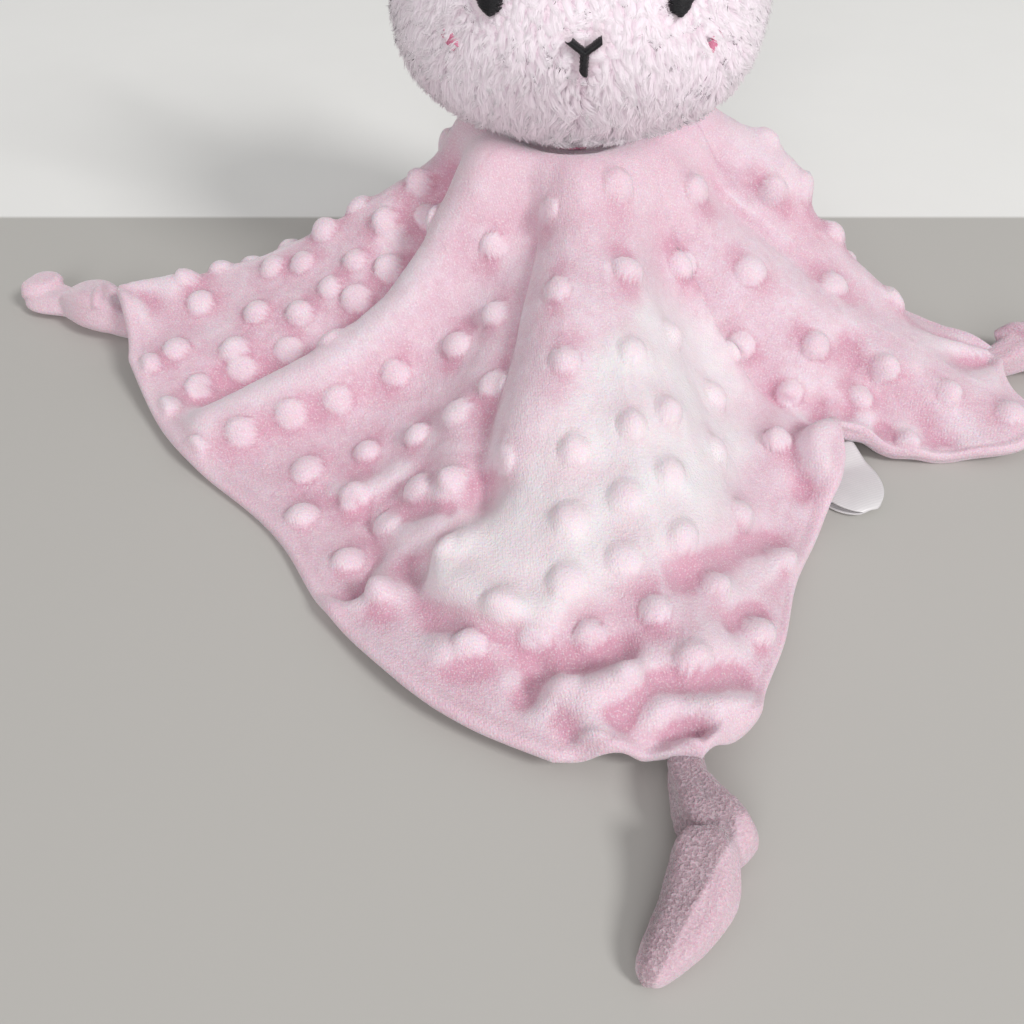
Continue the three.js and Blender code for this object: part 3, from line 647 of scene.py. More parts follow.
def relief(flat):
    # heights over the drape: Gaussian folds beside lines, gathers round the knots and soft unevenness
    added = sum(softNoise(flat, size, seed) * height for size, seed, height in blanket["uneven"])
    for rise, inner, outer, line in foldPaths:
        reach = 2.6 * max(inner, outer)
        low, high = line.min(0) - reach, line.max(0) + reach
        near = np.flatnonzero(np.all((flat > low) & (flat < high), axis=1))
        off, inside = lineOff(flat[near], line)
        added[near] += rise * bell(off, mix(outer, inner, inside))
    gatherHeight, gatherPlace, gatherWidth = blanket["gather"]
    riseHeight, riseWidth = blanket["cornerRise"]
    for place in cornerPlaces:
        away = flat[:, :2] - place
        off = np.linalg.norm(away, axis=1)
        turn = np.arctan2(away[:, 1], away[:, 0])
        wave = np.cos(6 * turn + 0.9 * np.sin(2 * turn))
        gather = gatherHeight * bell(off - gatherPlace, gatherWidth) * wave
        added += gather + riseHeight * bell(off, riseWidth)
    fromNeck = np.hypot(flat[:, 0], flat[:, 1])
    return added * ease(fromNeck, 20, 36) + crownSwell(fromNeck)


def lowest(grid, rings, columns):  # the least value within so many rings and columns
    least = np.minimum.reduce([np.roll(grid, shift, 1) for shift in range(-columns, columns + 1)])
    wide = np.pad(least, ((rings, rings), (0, 0)), mode="edge")
    return np.minimum.reduce([wide[shift:shift + len(grid)] for shift in range(2 * rings + 1)])


def layer(heights):  # the drape moved along its normals by these heights, kept above the table
    moved = base + baseNormal * heights[..., None]
    moved[..., 2] = np.maximum(0.1, moved[..., 2])
    return moved


def halfRound(inset, radius):
    # height of a half circle's edge over its middle, from 0 at the hem to the radius
    return radius * np.sqrt(np.clip(1 - (1 - np.clip(inset / radius, 0, 1)) ** 2, 0, 1))


def mainRings(step):  # every so many rings, short of the hem
    return [ring for ring in range(step, len(toHem), step) if toHem[ring].min() > blanket["hemClear"]]


def shell(name, over, under):
    # a closed sheet from two grids of rings with as many columns: over faces up, under faces down
    columns = over.shape[1]
    around, after = loopPairs(columns)
    start = over.shape[0] * columns
    middles = [over[0].mean(0)[None], under[0].mean(0)[None]]
    points = np.concatenate([over.reshape(-1, 3), under.reshape(-1, 3), *middles])
    lastOver, lastUnder, end = start - columns, len(points) - 2 - columns, len(points)
    strip = np.stack([lastOver + around, lastUnder + around, lastUnder + after, lastOver + after], -1)
    caps = np.concatenate([cap(around, after, end - 2), cap(start + after, start + around, end - 1)])
    sides = [gridFaces(over.shape[0], columns, loop=True, flip=True),
             gridFaces(under.shape[0], columns, loop=True, start=start), strip, caps]
    return newPiece(name, points, sides)


# The guide is the drape's outer face before the folds, where the pixels land
topSides = hemSides(blanket["columns"], blanket["seenWeight"])
mainShares = np.concatenate([np.linspace(0.02, 0.15, 5)[:-1], np.linspace(0.15, 1, blanket["rings"])])
base, baseNormal, toHem = blanketGrid(topSides, mainShares, hemInsets, blanket["heightPasses"])
guide = (base + baseNormal * blanket["topOver"]).reshape(-1, 3)
foldPaths = [(rise, inner, outer, onCloth(pixels)) for rise, inner, outer, pixels in foldLines]
added = relief(guide).reshape(toHem.shape)
formed = layer(added)
formedOver = formed + baseNormal * blanket["topOver"]

# Cloth coordinates: the way along the surface from the neck, and an angle from the way round at three fifths
stepsOut = np.linalg.norm(np.diff(formedOver, axis=0), axis=-1)
walkedOut = np.concatenate([np.linalg.norm(formedOver[:1, :, :2], axis=-1), stepsOut]).cumsum(0)
ring = formedOver[int(len(formedOver) * 0.62)]
stepsAround = np.linalg.norm(np.roll(ring, -1, 0) - ring, axis=-1)
clothAngle = np.concatenate([[0], np.cumsum(stepsAround)[:-1]]) / stepsAround.sum() * 2 * np.pi
clothWay = np.stack([np.cos(clothAngle), np.sin(clothAngle)], -1)
cloth = walkedOut[..., None] * clothWay


def placeDots():
    # each dot read off the photograph lands on the cloth that shows there; where none can be seen, a lattice
    # of squares set on their corners fills in, in the cloth's own coordinates
    surface = formedOver.reshape(-1, 3)
    found = [surface[seenIndex(surface, *pixel)] for pixel in dotPixels]
    row, column = np.meshgrid(np.arange(-14, 15), np.arange(-14, 15), indexing="ij")
    lattice = np.stack([row + column, row - column], -1).reshape(-1, 2) * blanket["dotSpacing"] / np.sqrt(2)
    flatCloth, flatInset = cloth.reshape(-1, 2), toHem.reshape(-1)
    for place in lattice:
        off = np.linalg.norm(flatCloth - place, axis=1)
        nearest = int(np.argmin(off))
        spot = surface[nearest]
        if off[nearest] > 3 or flatInset[nearest] < blanket["hemClear"]:
            continue
        if np.hypot(*spot[:2]) < blanket["neckClear"]:
            continue
        pixel = photoPlace(spot)
        inView = 0 < pixel[0] < view["frame"] and 0 < pixel[1] < view["frame"]
        if inView and np.linalg.norm(surface[seenIndex(surface, *pixel[:2])] - spot) < 7:
            continue
        if np.min(np.linalg.norm(np.array(found) - spot, axis=1)) > blanket["dotClear"]:
            found.append(spot)
    return np.array(found)


def nearestDot(places, dots):  # distance to the nearest dot and its number
    off, which = np.empty(len(places)), np.empty(len(places), int)
    for first in range(0, len(places), 8000):
        away = np.linalg.norm(places[first:first + 8000, None] - dots[None], axis=-1)
        off[first:first + 8000], which[first:first + 8000] = away.min(1), away.argmin(1)
    return off, which


def insideOutline(places, outline, edge):
    # 1 inside an outline in the photograph, 0 outside, eased over the edge's width in pixels
    corners = np.array(outline, float)
    off, crossings = np.full(len(places), 1e9), np.zeros(len(places), int)
    for start, end in zip(corners, np.roll(corners, -1, 0)):
        run = end - start
        away = places[:, :2] - start
        share = np.clip(away @ run / (run @ run), 0, 1)
        off = np.minimum(off, np.linalg.norm(away - share[:, None] * run, axis=1))
        between = (start[1] > places[:, 1]) != (end[1] > places[:, 1])
        height = run[1] if run[1] else 1e-9
        crossings += between & (away[:, 0] < away[:, 1] / height * run[0])
    signed = np.where(crossings % 2 == 1, off, -off)
    return ease(signed, -edge / 2, edge / 2)


def makeTop():
    # outer face: the drape, domed over each dot, dipping between them, with a stitched and rolled hem
    dots = placeDots()
    off, which = (a.reshape(toHem.shape) for a in nearestDot(formedOver.reshape(-1, 3), dots))
    # The sines of a dot's number make its size and height differ from the others'
    uneven = 1 + 0.1 * softNoise(formedOver, 4.5, 12)
    size = (1 + 0.1 * np.sin(which * 12.9898)) * uneven
    steep, blunt = blanket["domePowers"]
    dome = np.clip(1 - (off / (blanket["dotRadius"] * size)) ** steep, 0, 1) ** blunt
    dome = dome * (1 + 0.16 * np.sin(which * 7.3))
    inField = ease(toHem, 1.2, 5.0)
    rim = blanket["rollRadius"]
    rounded = halfRound(toHem, rim)
    grooveDepth, groovePlace, grooveWidth = blanket["groove"]
    height = blanket["topOver"] - rim + rounded - grooveDepth * bell(toHem - groovePlace, grooveWidth)
    dip, dipStart, dipEnd = blanket["pucker"]
    height = height + inField * (dome * blanket["dotHeight"] - dip * ease(off, dipStart, dipEnd))
    height = height + blanket["pile"] * softNoise(formedOver, blanket["pileSize"], 8) * ease(toHem, 0, 2)
    over = formed + baseNormal * height[..., None]
    hemRings = [len(toHem) + ring for ring in (-13, -10, -8, -6, -5, -4, -3, -2)]
    hidden = mainRings(blanket["hiddenStep"]) + hemRings
    lower = blanket["topOver"] - rim - 0.97 * halfRound(toHem, rim)
    lower = np.where(toHem > blanket["underHem"], blanket["topUnder"], lower)
    pressed = lowest(added, blanket["hiddenStep"], 1) * ease(toHem, 0, 4)
    under = layer(pressed + added * (1 - ease(toHem, 0, 4)) + lower)[hidden]
    piece = shell("blanketTop", over, under)
    # painted sheen: the share of each point inside the outline of the lit flank
    brushed = insideOutline(photoPlace(formedOver.reshape(-1, 3)), sheenOutline, blanket["brushedEdge"])
    # painted shade: how far each point lies below its smoothed surroundings, darkening hollows and paling the
    # dot tops
    hollow = np.sum((evened(over, blanket["hollowPasses"]) - over) * baseNormal, axis=-1)
    hollow = hollow * ease(toHem, 2, 8) * ease(walkedOut, 34, 60)
    hollow = np.clip(hollow / blanket["hollowDepth"], -0.25, 1)
    extra = np.zeros(under.shape[0] * under.shape[1] + 2)
    for key, values in (("dot", dome * inField), ("brushed", brushed), ("hollow", hollow)):
        paint(piece, key, np.concatenate([values.ravel(), extra]))
    innerCloth = np.linalg.norm(under, axis=-1)[..., None] * clothWay
    places = [cloth.reshape(-1, 2), innerCloth.reshape(-1, 2), np.zeros((2, 2))]
    spread(piece, "cloth", np.concatenate(places) * 0.001)
    print("blanket top made with", len(dots), "dots,", len(dotPixels), "of them read off the photograph")
    return dress(piece, "blanket", ["blanket_top"], "minky")


def makeLining():
    # the same drape under the top, ending inside the rolled hem
    kept = mainRings(2) + [len(toHem) + ring for ring in (-13, -11, -9)]
    tucked = mix(0.3, blanket["liningThick"], ease(toHem, 3.5, 4.6))
    laid = lowest(added, 2, 2)
    over = layer(laid + tucked)[kept, ::2]
    under = layer(laid + 0.1)[kept, ::2]
    over[..., 2] = np.maximum(under[..., 2] + 0.15, over[..., 2])
    print("lining made")
    return dress(shell("blanketLining", over, under), "blanket", ["blanket_lining"], "velour")


top = makeTop()
lining = makeLining()


# Knotted corners
# Strands in a knot's own frame, in mm: outward, to the left and up from the table, half width, half height,
# or a radius for the ridge; the coarse side as the two lines aside that it lies between, their slopes along
# the tail, and its amount; and the least share of the coarse side's darker colour over the whole knot, as
# painted shade
knotShapes = {
    "front": {
        "cone": [(-6, -2.4, 5.2, 3.6, 3.4), (0, -2.6, 6.0, 3.9, 4.2), (5.5, -0.6, 6.2, 5.8, 5.2),
                 (10.5, 1.6, 6.4, 7.6, 6.0), (15, 2.8, 6.0, 7.4, 5.4), (18.5, 2.4, 4.8, 5.2, 4.0),
                 (21, 1.8, 4.0, 2.2, 2.2)],
        "leaf": [(15.4, -1.0, 10.6, 3.6, 2.4), (18, -1.0, 9.8, 5.8, 3.8), (22, -1.2, 7.6, 6.8, 4.6),
                 (28, -2.6, 5.6, 7.4, 4.6), (34.5, -6.4, 4.4, 6.4, 3.9), (39, -9.6, 3.4, 4.4, 3.0),
                 (41.6, -11.0, 2.2, 1.8, 1.6)],
        "ridge": [(17.5, 3.4, 9.8, 1.7), (26, -1.6, 9.0, 1.9), (33, -6.6, 7.0, 1.8), (39.5, -11.2, 4.2, 1.5)],
        "coarse": (-8.0, 5.2, -0.25, -0.62, 0.95), "shade": 0.34,
    },
    "left": {
        "cone": [(-6, 0, 5.0, 4.4, 4.0), (0, 0.5, 6.0, 5.4, 5.2), (5, 0, 6.8, 7.4, 6.4),
                 (11, -0.5, 7.2, 8.4, 7.0), (17, -0.5, 6.6, 7.4, 6.2), (22, 0, 5.4, 5.4, 4.8),
                 (25, 0, 4.6, 3.0, 3.0)],
        "leaf": [(19, 0.3, 4.6, 4.6, 4.0), (25, 0.8, 4.2, 5.8, 3.9), (31, 1.2, 3.9, 6.8, 3.7),
                 (36, 1.0, 3.9, 6.6, 3.7), (40, 0.6, 3.6, 4.2, 3.0), (41.8, 0.5, 3.4, 1.6, 1.6)],
        "flap": [(30.4, -0.6, 7.8, 3.0, 1.2), (32, -0.5, 8.0, 5.4, 1.9), (36, 0, 7.2, 6.8, 2.8),
                 (39.6, 0.3, 5.8, 5.6, 3.4), (42, 0.4, 4.8, 2.0, 2.0)],
        "ridge": [(4.5, 5.0, 11.2, 1.6), (6.5, 1.5, 13.4, 1.9), (10, -3.4, 12.2, 1.9),
                  (10.5, -7.2, 8.0, 1.5)],
        "coarse": (0, 0, 0, 0, 0.12), "shade": 0.05,
    },
    "right": {
        "cone": [(-6, 1, 5.0, 4.4, 3.8), (0, 2, 6.4, 5.4, 5.2), (6, 4, 7.6, 6.8, 6.4), (12, 5, 8.0, 7.6, 7.0),
                 (17, 4.5, 7.0, 7.0, 6.2), (21, 3.6, 5.4, 5.0, 4.4), (23, 3.2, 4.6, 2.4, 2.4)],
        "leaf": [(12, 1.5, 10.6, 3.6, 2.4), (16, 1, 8.8, 5.6, 4.0), (22, 1, 6.0, 6.8, 4.8),
                 (30, 1.5, 4.7, 7.6, 4.4), (37, 2.4, 4.2, 6.6, 3.9), (42, 3, 3.2, 4.2, 2.8),
                 (44.4, 3.3, 2.2, 1.6, 1.6)],
        "ridge": [(1, 8.5, 10.0, 1.7), (5, 6.0, 14.0, 2.0), (9, 0.5, 14.0, 2.0), (10, -3.5, 10.0, 1.7)],
        "coarse": (-4, 3, 0, 0, 0.25), "shade": 0.05,
    },
    "back": {
        "cone": [(-6, 0, 5.0, 4.3, 3.8), (0, 0, 6.0, 4.9, 4.6), (6, -0.6, 6.4, 6.2, 5.4),
                 (12, -1.6, 6.6, 7.4, 6.2), (17, -2.2, 6.0, 7.2, 5.6), (21, -2, 5.0, 5.2, 4.2),
                 (23.4, -1.8, 4.2, 2.4, 2.4)],
        "leaf": [(12, 1, 9.8, 3.4, 2.2), (16, 0.8, 8.6, 5.4, 3.8), (22, 0.8, 5.6, 6.8, 4.8),
                 (30, 1.6, 4.6, 7.4, 4.3), (37, 2.8, 4.0, 6.4, 3.7), (42, 3.6, 3.1, 4.0, 2.7),
                 (44.4, 4.0, 2.2, 1.6, 1.6)],
        "ridge": [(13.5, -2, 11.0, 2.0), (23, 1.6, 9.4, 1.9), (32, 4.6, 7.4, 1.7), (39, 5.8, 4.6, 1.4)],
        "coarse": (-2, 4, 0.1, 0.2, 0.85), "shade": 0.3,
    },
}
knot = {
    "voxel": 0.0005, "smoothing": 7, "sides": 30, "ripple": 0.07, "curlSize": 1.25, "curlHeight": 0.22,
    "tailStart": 16.0, "coneEnd": (14.0, 19.0), "fill": 0.9,
}


def section(path, ripple):
    # ellipses square to the outward axis, carried along a path and rippled like gathered cloth
    turn = np.arange(knot["sides"]) / knot["sides"] * 2 * np.pi
    wave = 1 + ripple * np.cos(5 * turn + 2.6 * np.linspace(0, 1, len(path))[:, None])
    side = path[:, 3:4] * np.cos(turn) * wave
    up = path[:, 4:5] * signedPower(np.sin(turn), 0.9) * wave
    return closedBall(np.stack([path[:, :1] + 0 * side, path[:, 1:2] + side, path[:, 2:3] + up], -1))


def curve(stations, steps):
    # a smooth line through stations: each stretch is a cubic whose slope at a station is half the step
    # between its neighbours
    stations = np.array(stations, float)
    fine = np.linspace(0, len(stations) - 1, steps)
    low = np.minimum(fine.astype(int), len(stations) - 2)
    share, slopes = (fine - low)[:, None], np.gradient(stations, axis=0)
    middle = mix(stations[low], stations[low + 1], share * share * (3 - 2 * share))
    return middle + slopes[low] * share * (1 - share) ** 2 - slopes[low + 1] * share ** 2 * (1 - share)


def makeKnot(name):
    # the gathered cone, the folded tail and a ridge, joined as one soft body, with curls of pile where the
    # cloth's coarse side shows
    shape = knotShapes[name]
    x, y, aim = drape["corners"][name][:3]
    corner, turn = np.array([x, y]) * drape["reach"], np.radians(aim)
    out, left = np.array([np.cos(turn), np.sin(turn)]), np.array([-np.sin(turn), np.cos(turn)])
    strands = [shape[key] for key in ("cone", "leaf", "flap") if key in shape]
    parts = [section(curve(strand, 50), knot["ripple"]) for strand in strands]
    ridge = curve(shape["ridge"], 30)
    parts.append(tubes(ridge[None, :, :3], ridge[None, :, 3], 14))
    points = np.concatenate([part[0] for part in parts])
    starts = np.cumsum([0] + [len(part[0]) for part in parts])
    faces = [group + start for part, start in zip(parts, starts) for group in part[1]]
    height = np.maximum(points[:, 2:], 0.15)
    world = np.concatenate([corner + points[:, :1] * out + points[:, 1:2] * left, height], 1)
    piece = newPiece(f"knot{name.capitalize()}", world, faces)
    baked(piece, ("REMESH", {"mode": "VOXEL", "voxel_size": knot["voxel"]}),
          ("SMOOTH", {"factor": 0.5, "iterations": knot["smoothing"]}))
    points = meshPoints(piece.data)
    along, aside = (points[:, :2] - corner) @ out, (points[:, :2] - corner) @ left
    lowLine, highLine, lowSlope, highSlope, amount = shape["coarse"]
    past = np.maximum(along - knot["tailStart"], 0)
    lowEdge = lowLine + lowSlope * past
    between = ease(aside, lowEdge - 1, lowEdge + 1)
    highEdge = highLine + highSlope * past
    between = between * (1 - ease(aside, highEdge - 0.8, highEdge + 0.8))
    onCone = 1 - ease(along + 0.6 * aside, *knot["coneEnd"])
    coarse = amount * np.maximum(onCone, between)
    normals = np.empty(len(points) * 3, np.float32)
    piece.data.vertex_normals.foreach_get("vector", normals)
    curls = softNoise(points, knot["curlSize"], 15) * coarse + 0.12 * softNoise(points, 0.9, 16)
    points = points + normals.reshape(-1, 3) * (knot["curlHeight"] * curls)[:, None]
    points[:, 2] = np.maximum(points[:, 2], 0.1)
    piece.data.vertices.foreach_set("co", placed(points))
    piece.data.update()
    # painted shade: the knot's least share of the darker coarse colour
    paint(piece, "under", np.maximum(coarse, shape["shade"]))
    dress(piece, f"corner_{name}", [f"knot_{name}"], "knotMinky")


# Care label
label = {
    "aim": -67.0, "width": 19.5, "out": 22.0, "thickness": 0.35, "place": 3.615, "waver": 0.2,
    "steps": 64, "across": 26, "flat": (0.018, 0.046),
}


def makeLabel():
    # a blank ribbon folded back on itself with rounded corners: a teardrop from the hem out over the table
    turn = np.linspace(-0.86 * np.pi, 0.86 * np.pi, label["steps"])
    out = label["out"] * (0.46 + 0.54 * np.cos(turn))
    up = 1.9 + 1.6 * np.sin(turn) * (0.55 + 0.45 * np.cos(turn)) + 2.6 * ease(-out, -8, 1) * (turn > 0)
    square = unit(np.stack([-np.gradient(up), np.gradient(out)], -1))
    share = np.linspace(-0.5, 0.5, label["across"])
    rounded = np.sqrt(1 - 0.95 * np.clip((out / label["out"] - 0.25) / 0.75, 0, 1) ** 2.6)
    angle = np.radians(label["aim"])
    start = hemPlace(label["place"])
    sheets, places = [], []
    for sign in (-0.5, 0.5):
        edgeOut = (out + square[:, 0] * sign * label["thickness"])[:, None] + 0 * share
        edgeUp = (up + square[:, 1] * sign * label["thickness"])[:, None]
        edgeUp = edgeUp + label["waver"] * np.cos(share * 5) * np.clip(edgeOut / label["out"], 0, 1)
        across = rounded[:, None] * share * label["width"]
        sheets.append(np.stack([edgeOut * np.cos(angle) - across * np.sin(angle) + start[0],
                                edgeOut * np.sin(angle) + across * np.cos(angle) + start[1],
                                np.maximum(edgeUp, 0.25 + 0 * across)], -1))
        places.append(np.stack([edgeOut, across], -1).reshape(-1, 2) * 0.001)
    piece = slab("careLabel", *sheets)
    spread(piece, "cloth", np.concatenate(places))
    dress(piece, "blanket", ["care_label"], "satin")
    print("label made")


for name in cornerNames:
    makeKnot(name)
print("knots made")
makeLabel()

# Head
head = {
    "width": 96.0, "depth": 76.0, "height": 82.0, "centre": 103.0, "latitudePower": 0.86,
    "longitudePower": 0.94,
    "skin": 2.5, "seamY": 3.0, "cheek": (0.07, 0.35, 0.5), "muzzle": (3.5, 19.0, 13.0, 9.0),
    "rows": 61, "columns": 120, "start": -1.4, "pressure": 4.0, "pointMass": 0.1, "simScale": 30.0,
    "furthest": 2.6, "fill": 0.85, "stuffingInset": 3.3, "panelGrid": (70, 60),
    # Half widths that the simulation holds still: front seam, side seams, round the neck, round the stitches
    "held": (1.0, 1.9, 12.0, 0.4),
    # Fuller cheeks as x, height, half width, half height, and how far on the left and the right
    "jowl": (36.0, -20.0, 14.0, 15.0, 1.6, 3.4),
    # Unevenness and lumps as size, seed and height; the dip along a seam as depth and half width
    "uneven": (16, 9, 0.6), "lumps": (11, 21, 0.5), "seamDip": (1.1, 1.4),
}
face = {
    "eye": (22.5, 4.0, 3.2, 4.3), "cheek": (31.5, -8.0, 2.7, 2.0), "fork": -6.9,
    "armReach": 3.8, "armRise": 2.8, "armWidth": 1.6, "stem": 5.4, "stemWidth": 1.9,
}


def headPlace(longitude, latitude, grow=0.0):
    # a squared-off ellipsoid, fuller at the cheeks, with a Gaussian muzzle pushed forward
    lon, lat = np.radians(longitude), np.radians(latitude)
    level = signedPower(np.cos(lat), head["latitudePower"])
    z = (head["height"] / 2 + grow) * signedPower(np.sin(lat), head["latitudePower"])
    full, drop, span = head["cheek"]
    below = (z + drop * head["height"]) / (span * head["height"])
    wide = (head["width"] / 2 + grow) * (1 + full * bell(below, 1)) / (1 + full)
    x = wide * level * signedPower(np.cos(lon), head["longitudePower"])
    y = (head["depth"] / 2 + grow) * level * signedPower(np.sin(lon), head["longitudePower"])
    forward, halfWidth, halfHeight, lower = head["muzzle"]
    push = bell(x, halfWidth) * bell(z + lower, halfHeight)
    return np.stack([x, np.where(y < 0, y - forward * push * level, y), z + head["centre"]], -1)


def ovalOff(x, z, oval, sign):  # distance outside an oval on the face, by the ratio of the radii
    middleX, middleZ, halfX, halfZ = oval
    ratio = np.hypot((x - sign * middleX) / halfX, (z - head["centre"] - middleZ) / halfZ)
    return (ratio - 1) * min(halfX, halfZ)


def strokeOff(x, z, start, end):  # distance to a straight stroke on the face
    run = np.array(end) - start
    share = np.clip(((x - start[0]) * run[0] + (z - start[1]) * run[1]) / (run @ run), 0, 1)
    return np.hypot(x - start[0] - share * run[0], z - start[1] - share * run[1])


def noseStrokes():
    fork = np.array([0, head["centre"] + face["fork"]])
    arms = [(fork, fork + [sign * face["armReach"], face["armRise"]], face["armWidth"]) for sign in (-1, 1)]
    return arms + [(fork + [0, 0.3], fork - [0, face["stem"]], face["stemWidth"])]


def stitchOff(points):  # distance on the face to the nearest eye or nose stitch, large at the back
    x, z = points[..., 0], points[..., 2]
    eyes = [ovalOff(x, z, face["eye"], sign) for sign in (-1, 1)]
    nose = [strokeOff(x, z, start, end) - width / 2 for start, end, width in noseStrokes()]
    return np.where(points[..., 1] > 0, 99, np.minimum.reduce(eyes + nose))


def cheekOff(points):
    x, z = points[..., 0], points[..., 2]
    off = np.minimum(*[ovalOff(x, z, face["cheek"], sign) for sign in (-1, 1)])
    return np.where(points[..., 1] > 0, 99, off)


def puff(points, faces, held):
    # the cover as cloth blown up from inside, without gravity, held along its seams and stitches; it is
    # made larger for the simulation, as thin cloth hardly moves at its real size, and no point moves
    # further than the limit
    piece = newPiece("puffing", points * head["simScale"], faces)
    piece.vertex_groups.new(name="held").add([int(i) for i in np.flatnonzero(held)], 1.0, "REPLACE")
    cloth = piece.modifiers.new("cloth", "CLOTH")
    cloth.settings.use_pressure = True
    cloth.settings.uniform_pressure_force = head["pressure"]
    cloth.settings.effector_weights.gravity = 0
    cloth.settings.vertex_group_mass = "held"
    cloth.settings.mass = head["pointMass"]
    cloth.point_cache.frame_start = 1
    cloth.point_cache.frame_end = 20
    for number in range(1, 21):
        bpy.context.scene.frame_set(number)
    moved = meshPoints(piece.evaluated_get(bpy.context.evaluated_depsgraph_get()).data) / head["simScale"]
    bpy.context.scene.frame_set(1)
    bpy.data.objects.remove(piece)
    move = moved - points
    length = np.maximum(np.linalg.norm(move, axis=1, keepdims=True), 1e-9)
    print("head puffed up, moved by", round(float(length.max()), 2), "mm at most before the limit")
    return points + move * np.minimum(1, head["furthest"] / length)


def formHead():
    latitude = np.linspace(-88, 88, head["rows"])
    longitude = np.arange(head["columns"]) / head["columns"] * 360
    lonGrid, latGrid = np.meshgrid(longitude, latitude)
    points, faces = closedBall(headPlace(lonGrid, latGrid, head["start"]))
    frontHalf, sideHalf, neckRadius, stitchGap = head["held"]
    frontSeam = (np.abs(points[:, 0]) < frontHalf) & (points[:, 1] < 0)
    sideSeams = np.abs(points[:, 1] - head["seamY"]) < sideHalf
    atNeck = (np.hypot(points[:, 0], points[:, 1]) < neckRadius) & (points[:, 2] < head["centre"])
    puffed = puff(points, faces, frontSeam | sideSeams | atNeck | (stitchOff(points) < stitchGap))
    grid = puffed[:head["rows"] * head["columns"]].reshape(head["rows"], head["columns"], 3)
    outward = unit(grid - [0, 0, head["centre"]])
    jowlX, jowlZ, wide, high, left, right = head["jowl"]
    full = bell(np.abs(grid[..., 0]) - jowlX, wide) * bell(grid[..., 2] - head["centre"] - jowlZ, high)
    size, seed, height = head["uneven"]
    full = full * np.where(grid[..., 0] < 0, left, right) + softNoise(grid, size, seed) * height
    stuffing = headPlace(lonGrid, latGrid, head["start"] - head["stuffingInset"])
    return grid + outward * full[..., None], stuffing


def ringNormals(grid):
    wrapped = np.concatenate([grid[:, -1:], grid, grid[:, :1]], 1)
    return unit(np.cross(wrapped[:, 2:] - wrapped[:, :-2], np.gradient(grid, axis=0)))


def onGrid(grid, row, column, loop=True):  # a grid sampled between its rows and columns
    columns = grid.shape[1]
    row = np.clip(row, 0, grid.shape[0] - 1.001)
    column = column if loop else np.clip(column, 0, columns - 1.001)
    r, c = np.floor(row).astype(int), np.floor(column).astype(int)
    rowShare, columnShare = (row - r)[..., None], (column - c)[..., None]
    c, d = c % columns, (c + 1) % columns
    lower = mix(grid[r, c], grid[r, d], columnShare)
    return mix(lower, mix(grid[r + 1, c], grid[r + 1, d], columnShare), rowShare)


def makeCover(name, lowLongitude, highLongitude, node):
    # one panel of the cover: drawn in at its seams, with its inner face a skin's thickness below
    down, wide = head["panelGrid"]
    rows, columns = np.linspace(0, head["rows"] - 1.001, down), np.linspace(lowLongitude, highLongitude, wide)
    row, column = np.meshgrid(rows, columns / 360 * head["columns"], indexing="ij")
    surface, normal = onGrid(headGrid, row, column), unit(onGrid(headNormals, row, column))
    share = np.linspace(0, 1, wide)
    toSeam = np.minimum(share, 1 - share) * np.linalg.norm(surface[:, -1] - surface[:, 0], axis=1)[:, None]
    dip, halfWidth = head["seamDip"]
    outer = surface - normal * (dip * bell(toSeam, halfWidth))[..., None]
    piece = slab(name, outer, surface - normal * head["skin"])
    dress(piece, "head", [node], "backing")


def makeStuffing(grid):  # fibre filling, lumpy by soft noise
    size, seed, height = head["lumps"]
    grid = grid + unit(grid - [0, 0, head["centre"]]) * softNoise(grid, size, seed)[..., None] * height
    piece = newPiece("headStuffing", *closedBall(grid))
    dress(piece, "head", ["head_stuffing"], "fibre")


headGrid, stuffingGrid = formHead()
headNormals = ringNormals(headGrid)
makeCover("faceCoverRight", -90.3, 4.6, "face_panel_right")
makeCover("faceCoverLeft", 175.4, 270.3, "face_panel_left")
makeCover("headBackCover", 5.0, 175.0, "head_back_panel")
makeStuffing(stuffingGrid)
print("head covers and stuffing made")

# Plush pile: locks of flat strands that draw together and curl over towards their tips
fur = {
    "spacing": 2.0, "faceStrands": 38, "backStrands": 30, "length": 4.2, "faceWidth": 0.4, "backWidth": 0.42,
    "lean": 0.9, "curl": 1.25, "lock": 1.25, "gather": 0.62, "stray": 0.36,
}
hemRing = hemPlace(np.linspace(0, 4, 720, endpoint=False))
hemOrder = np.argsort(np.arctan2(hemRing[:, 1], hemRing[:, 0]))
hemByAngle = np.arctan2(hemRing[:, 1], hemRing[:, 0])[hemOrder], np.linalg.norm(hemRing, axis=1)[hemOrder]


def clothUnder(x, y):  # height of the blanket's upper face near the neck
    hemRadius = np.interp(np.arctan2(y, x), *hemByAngle)
    fromNeck = np.hypot(x, y)
    height = drapeHeight(x, y, hemRadius) + crownSwell(fromNeck) + blanket["topOver"] + 0.3
    return np.where(fromNeck < 70, height, 0)


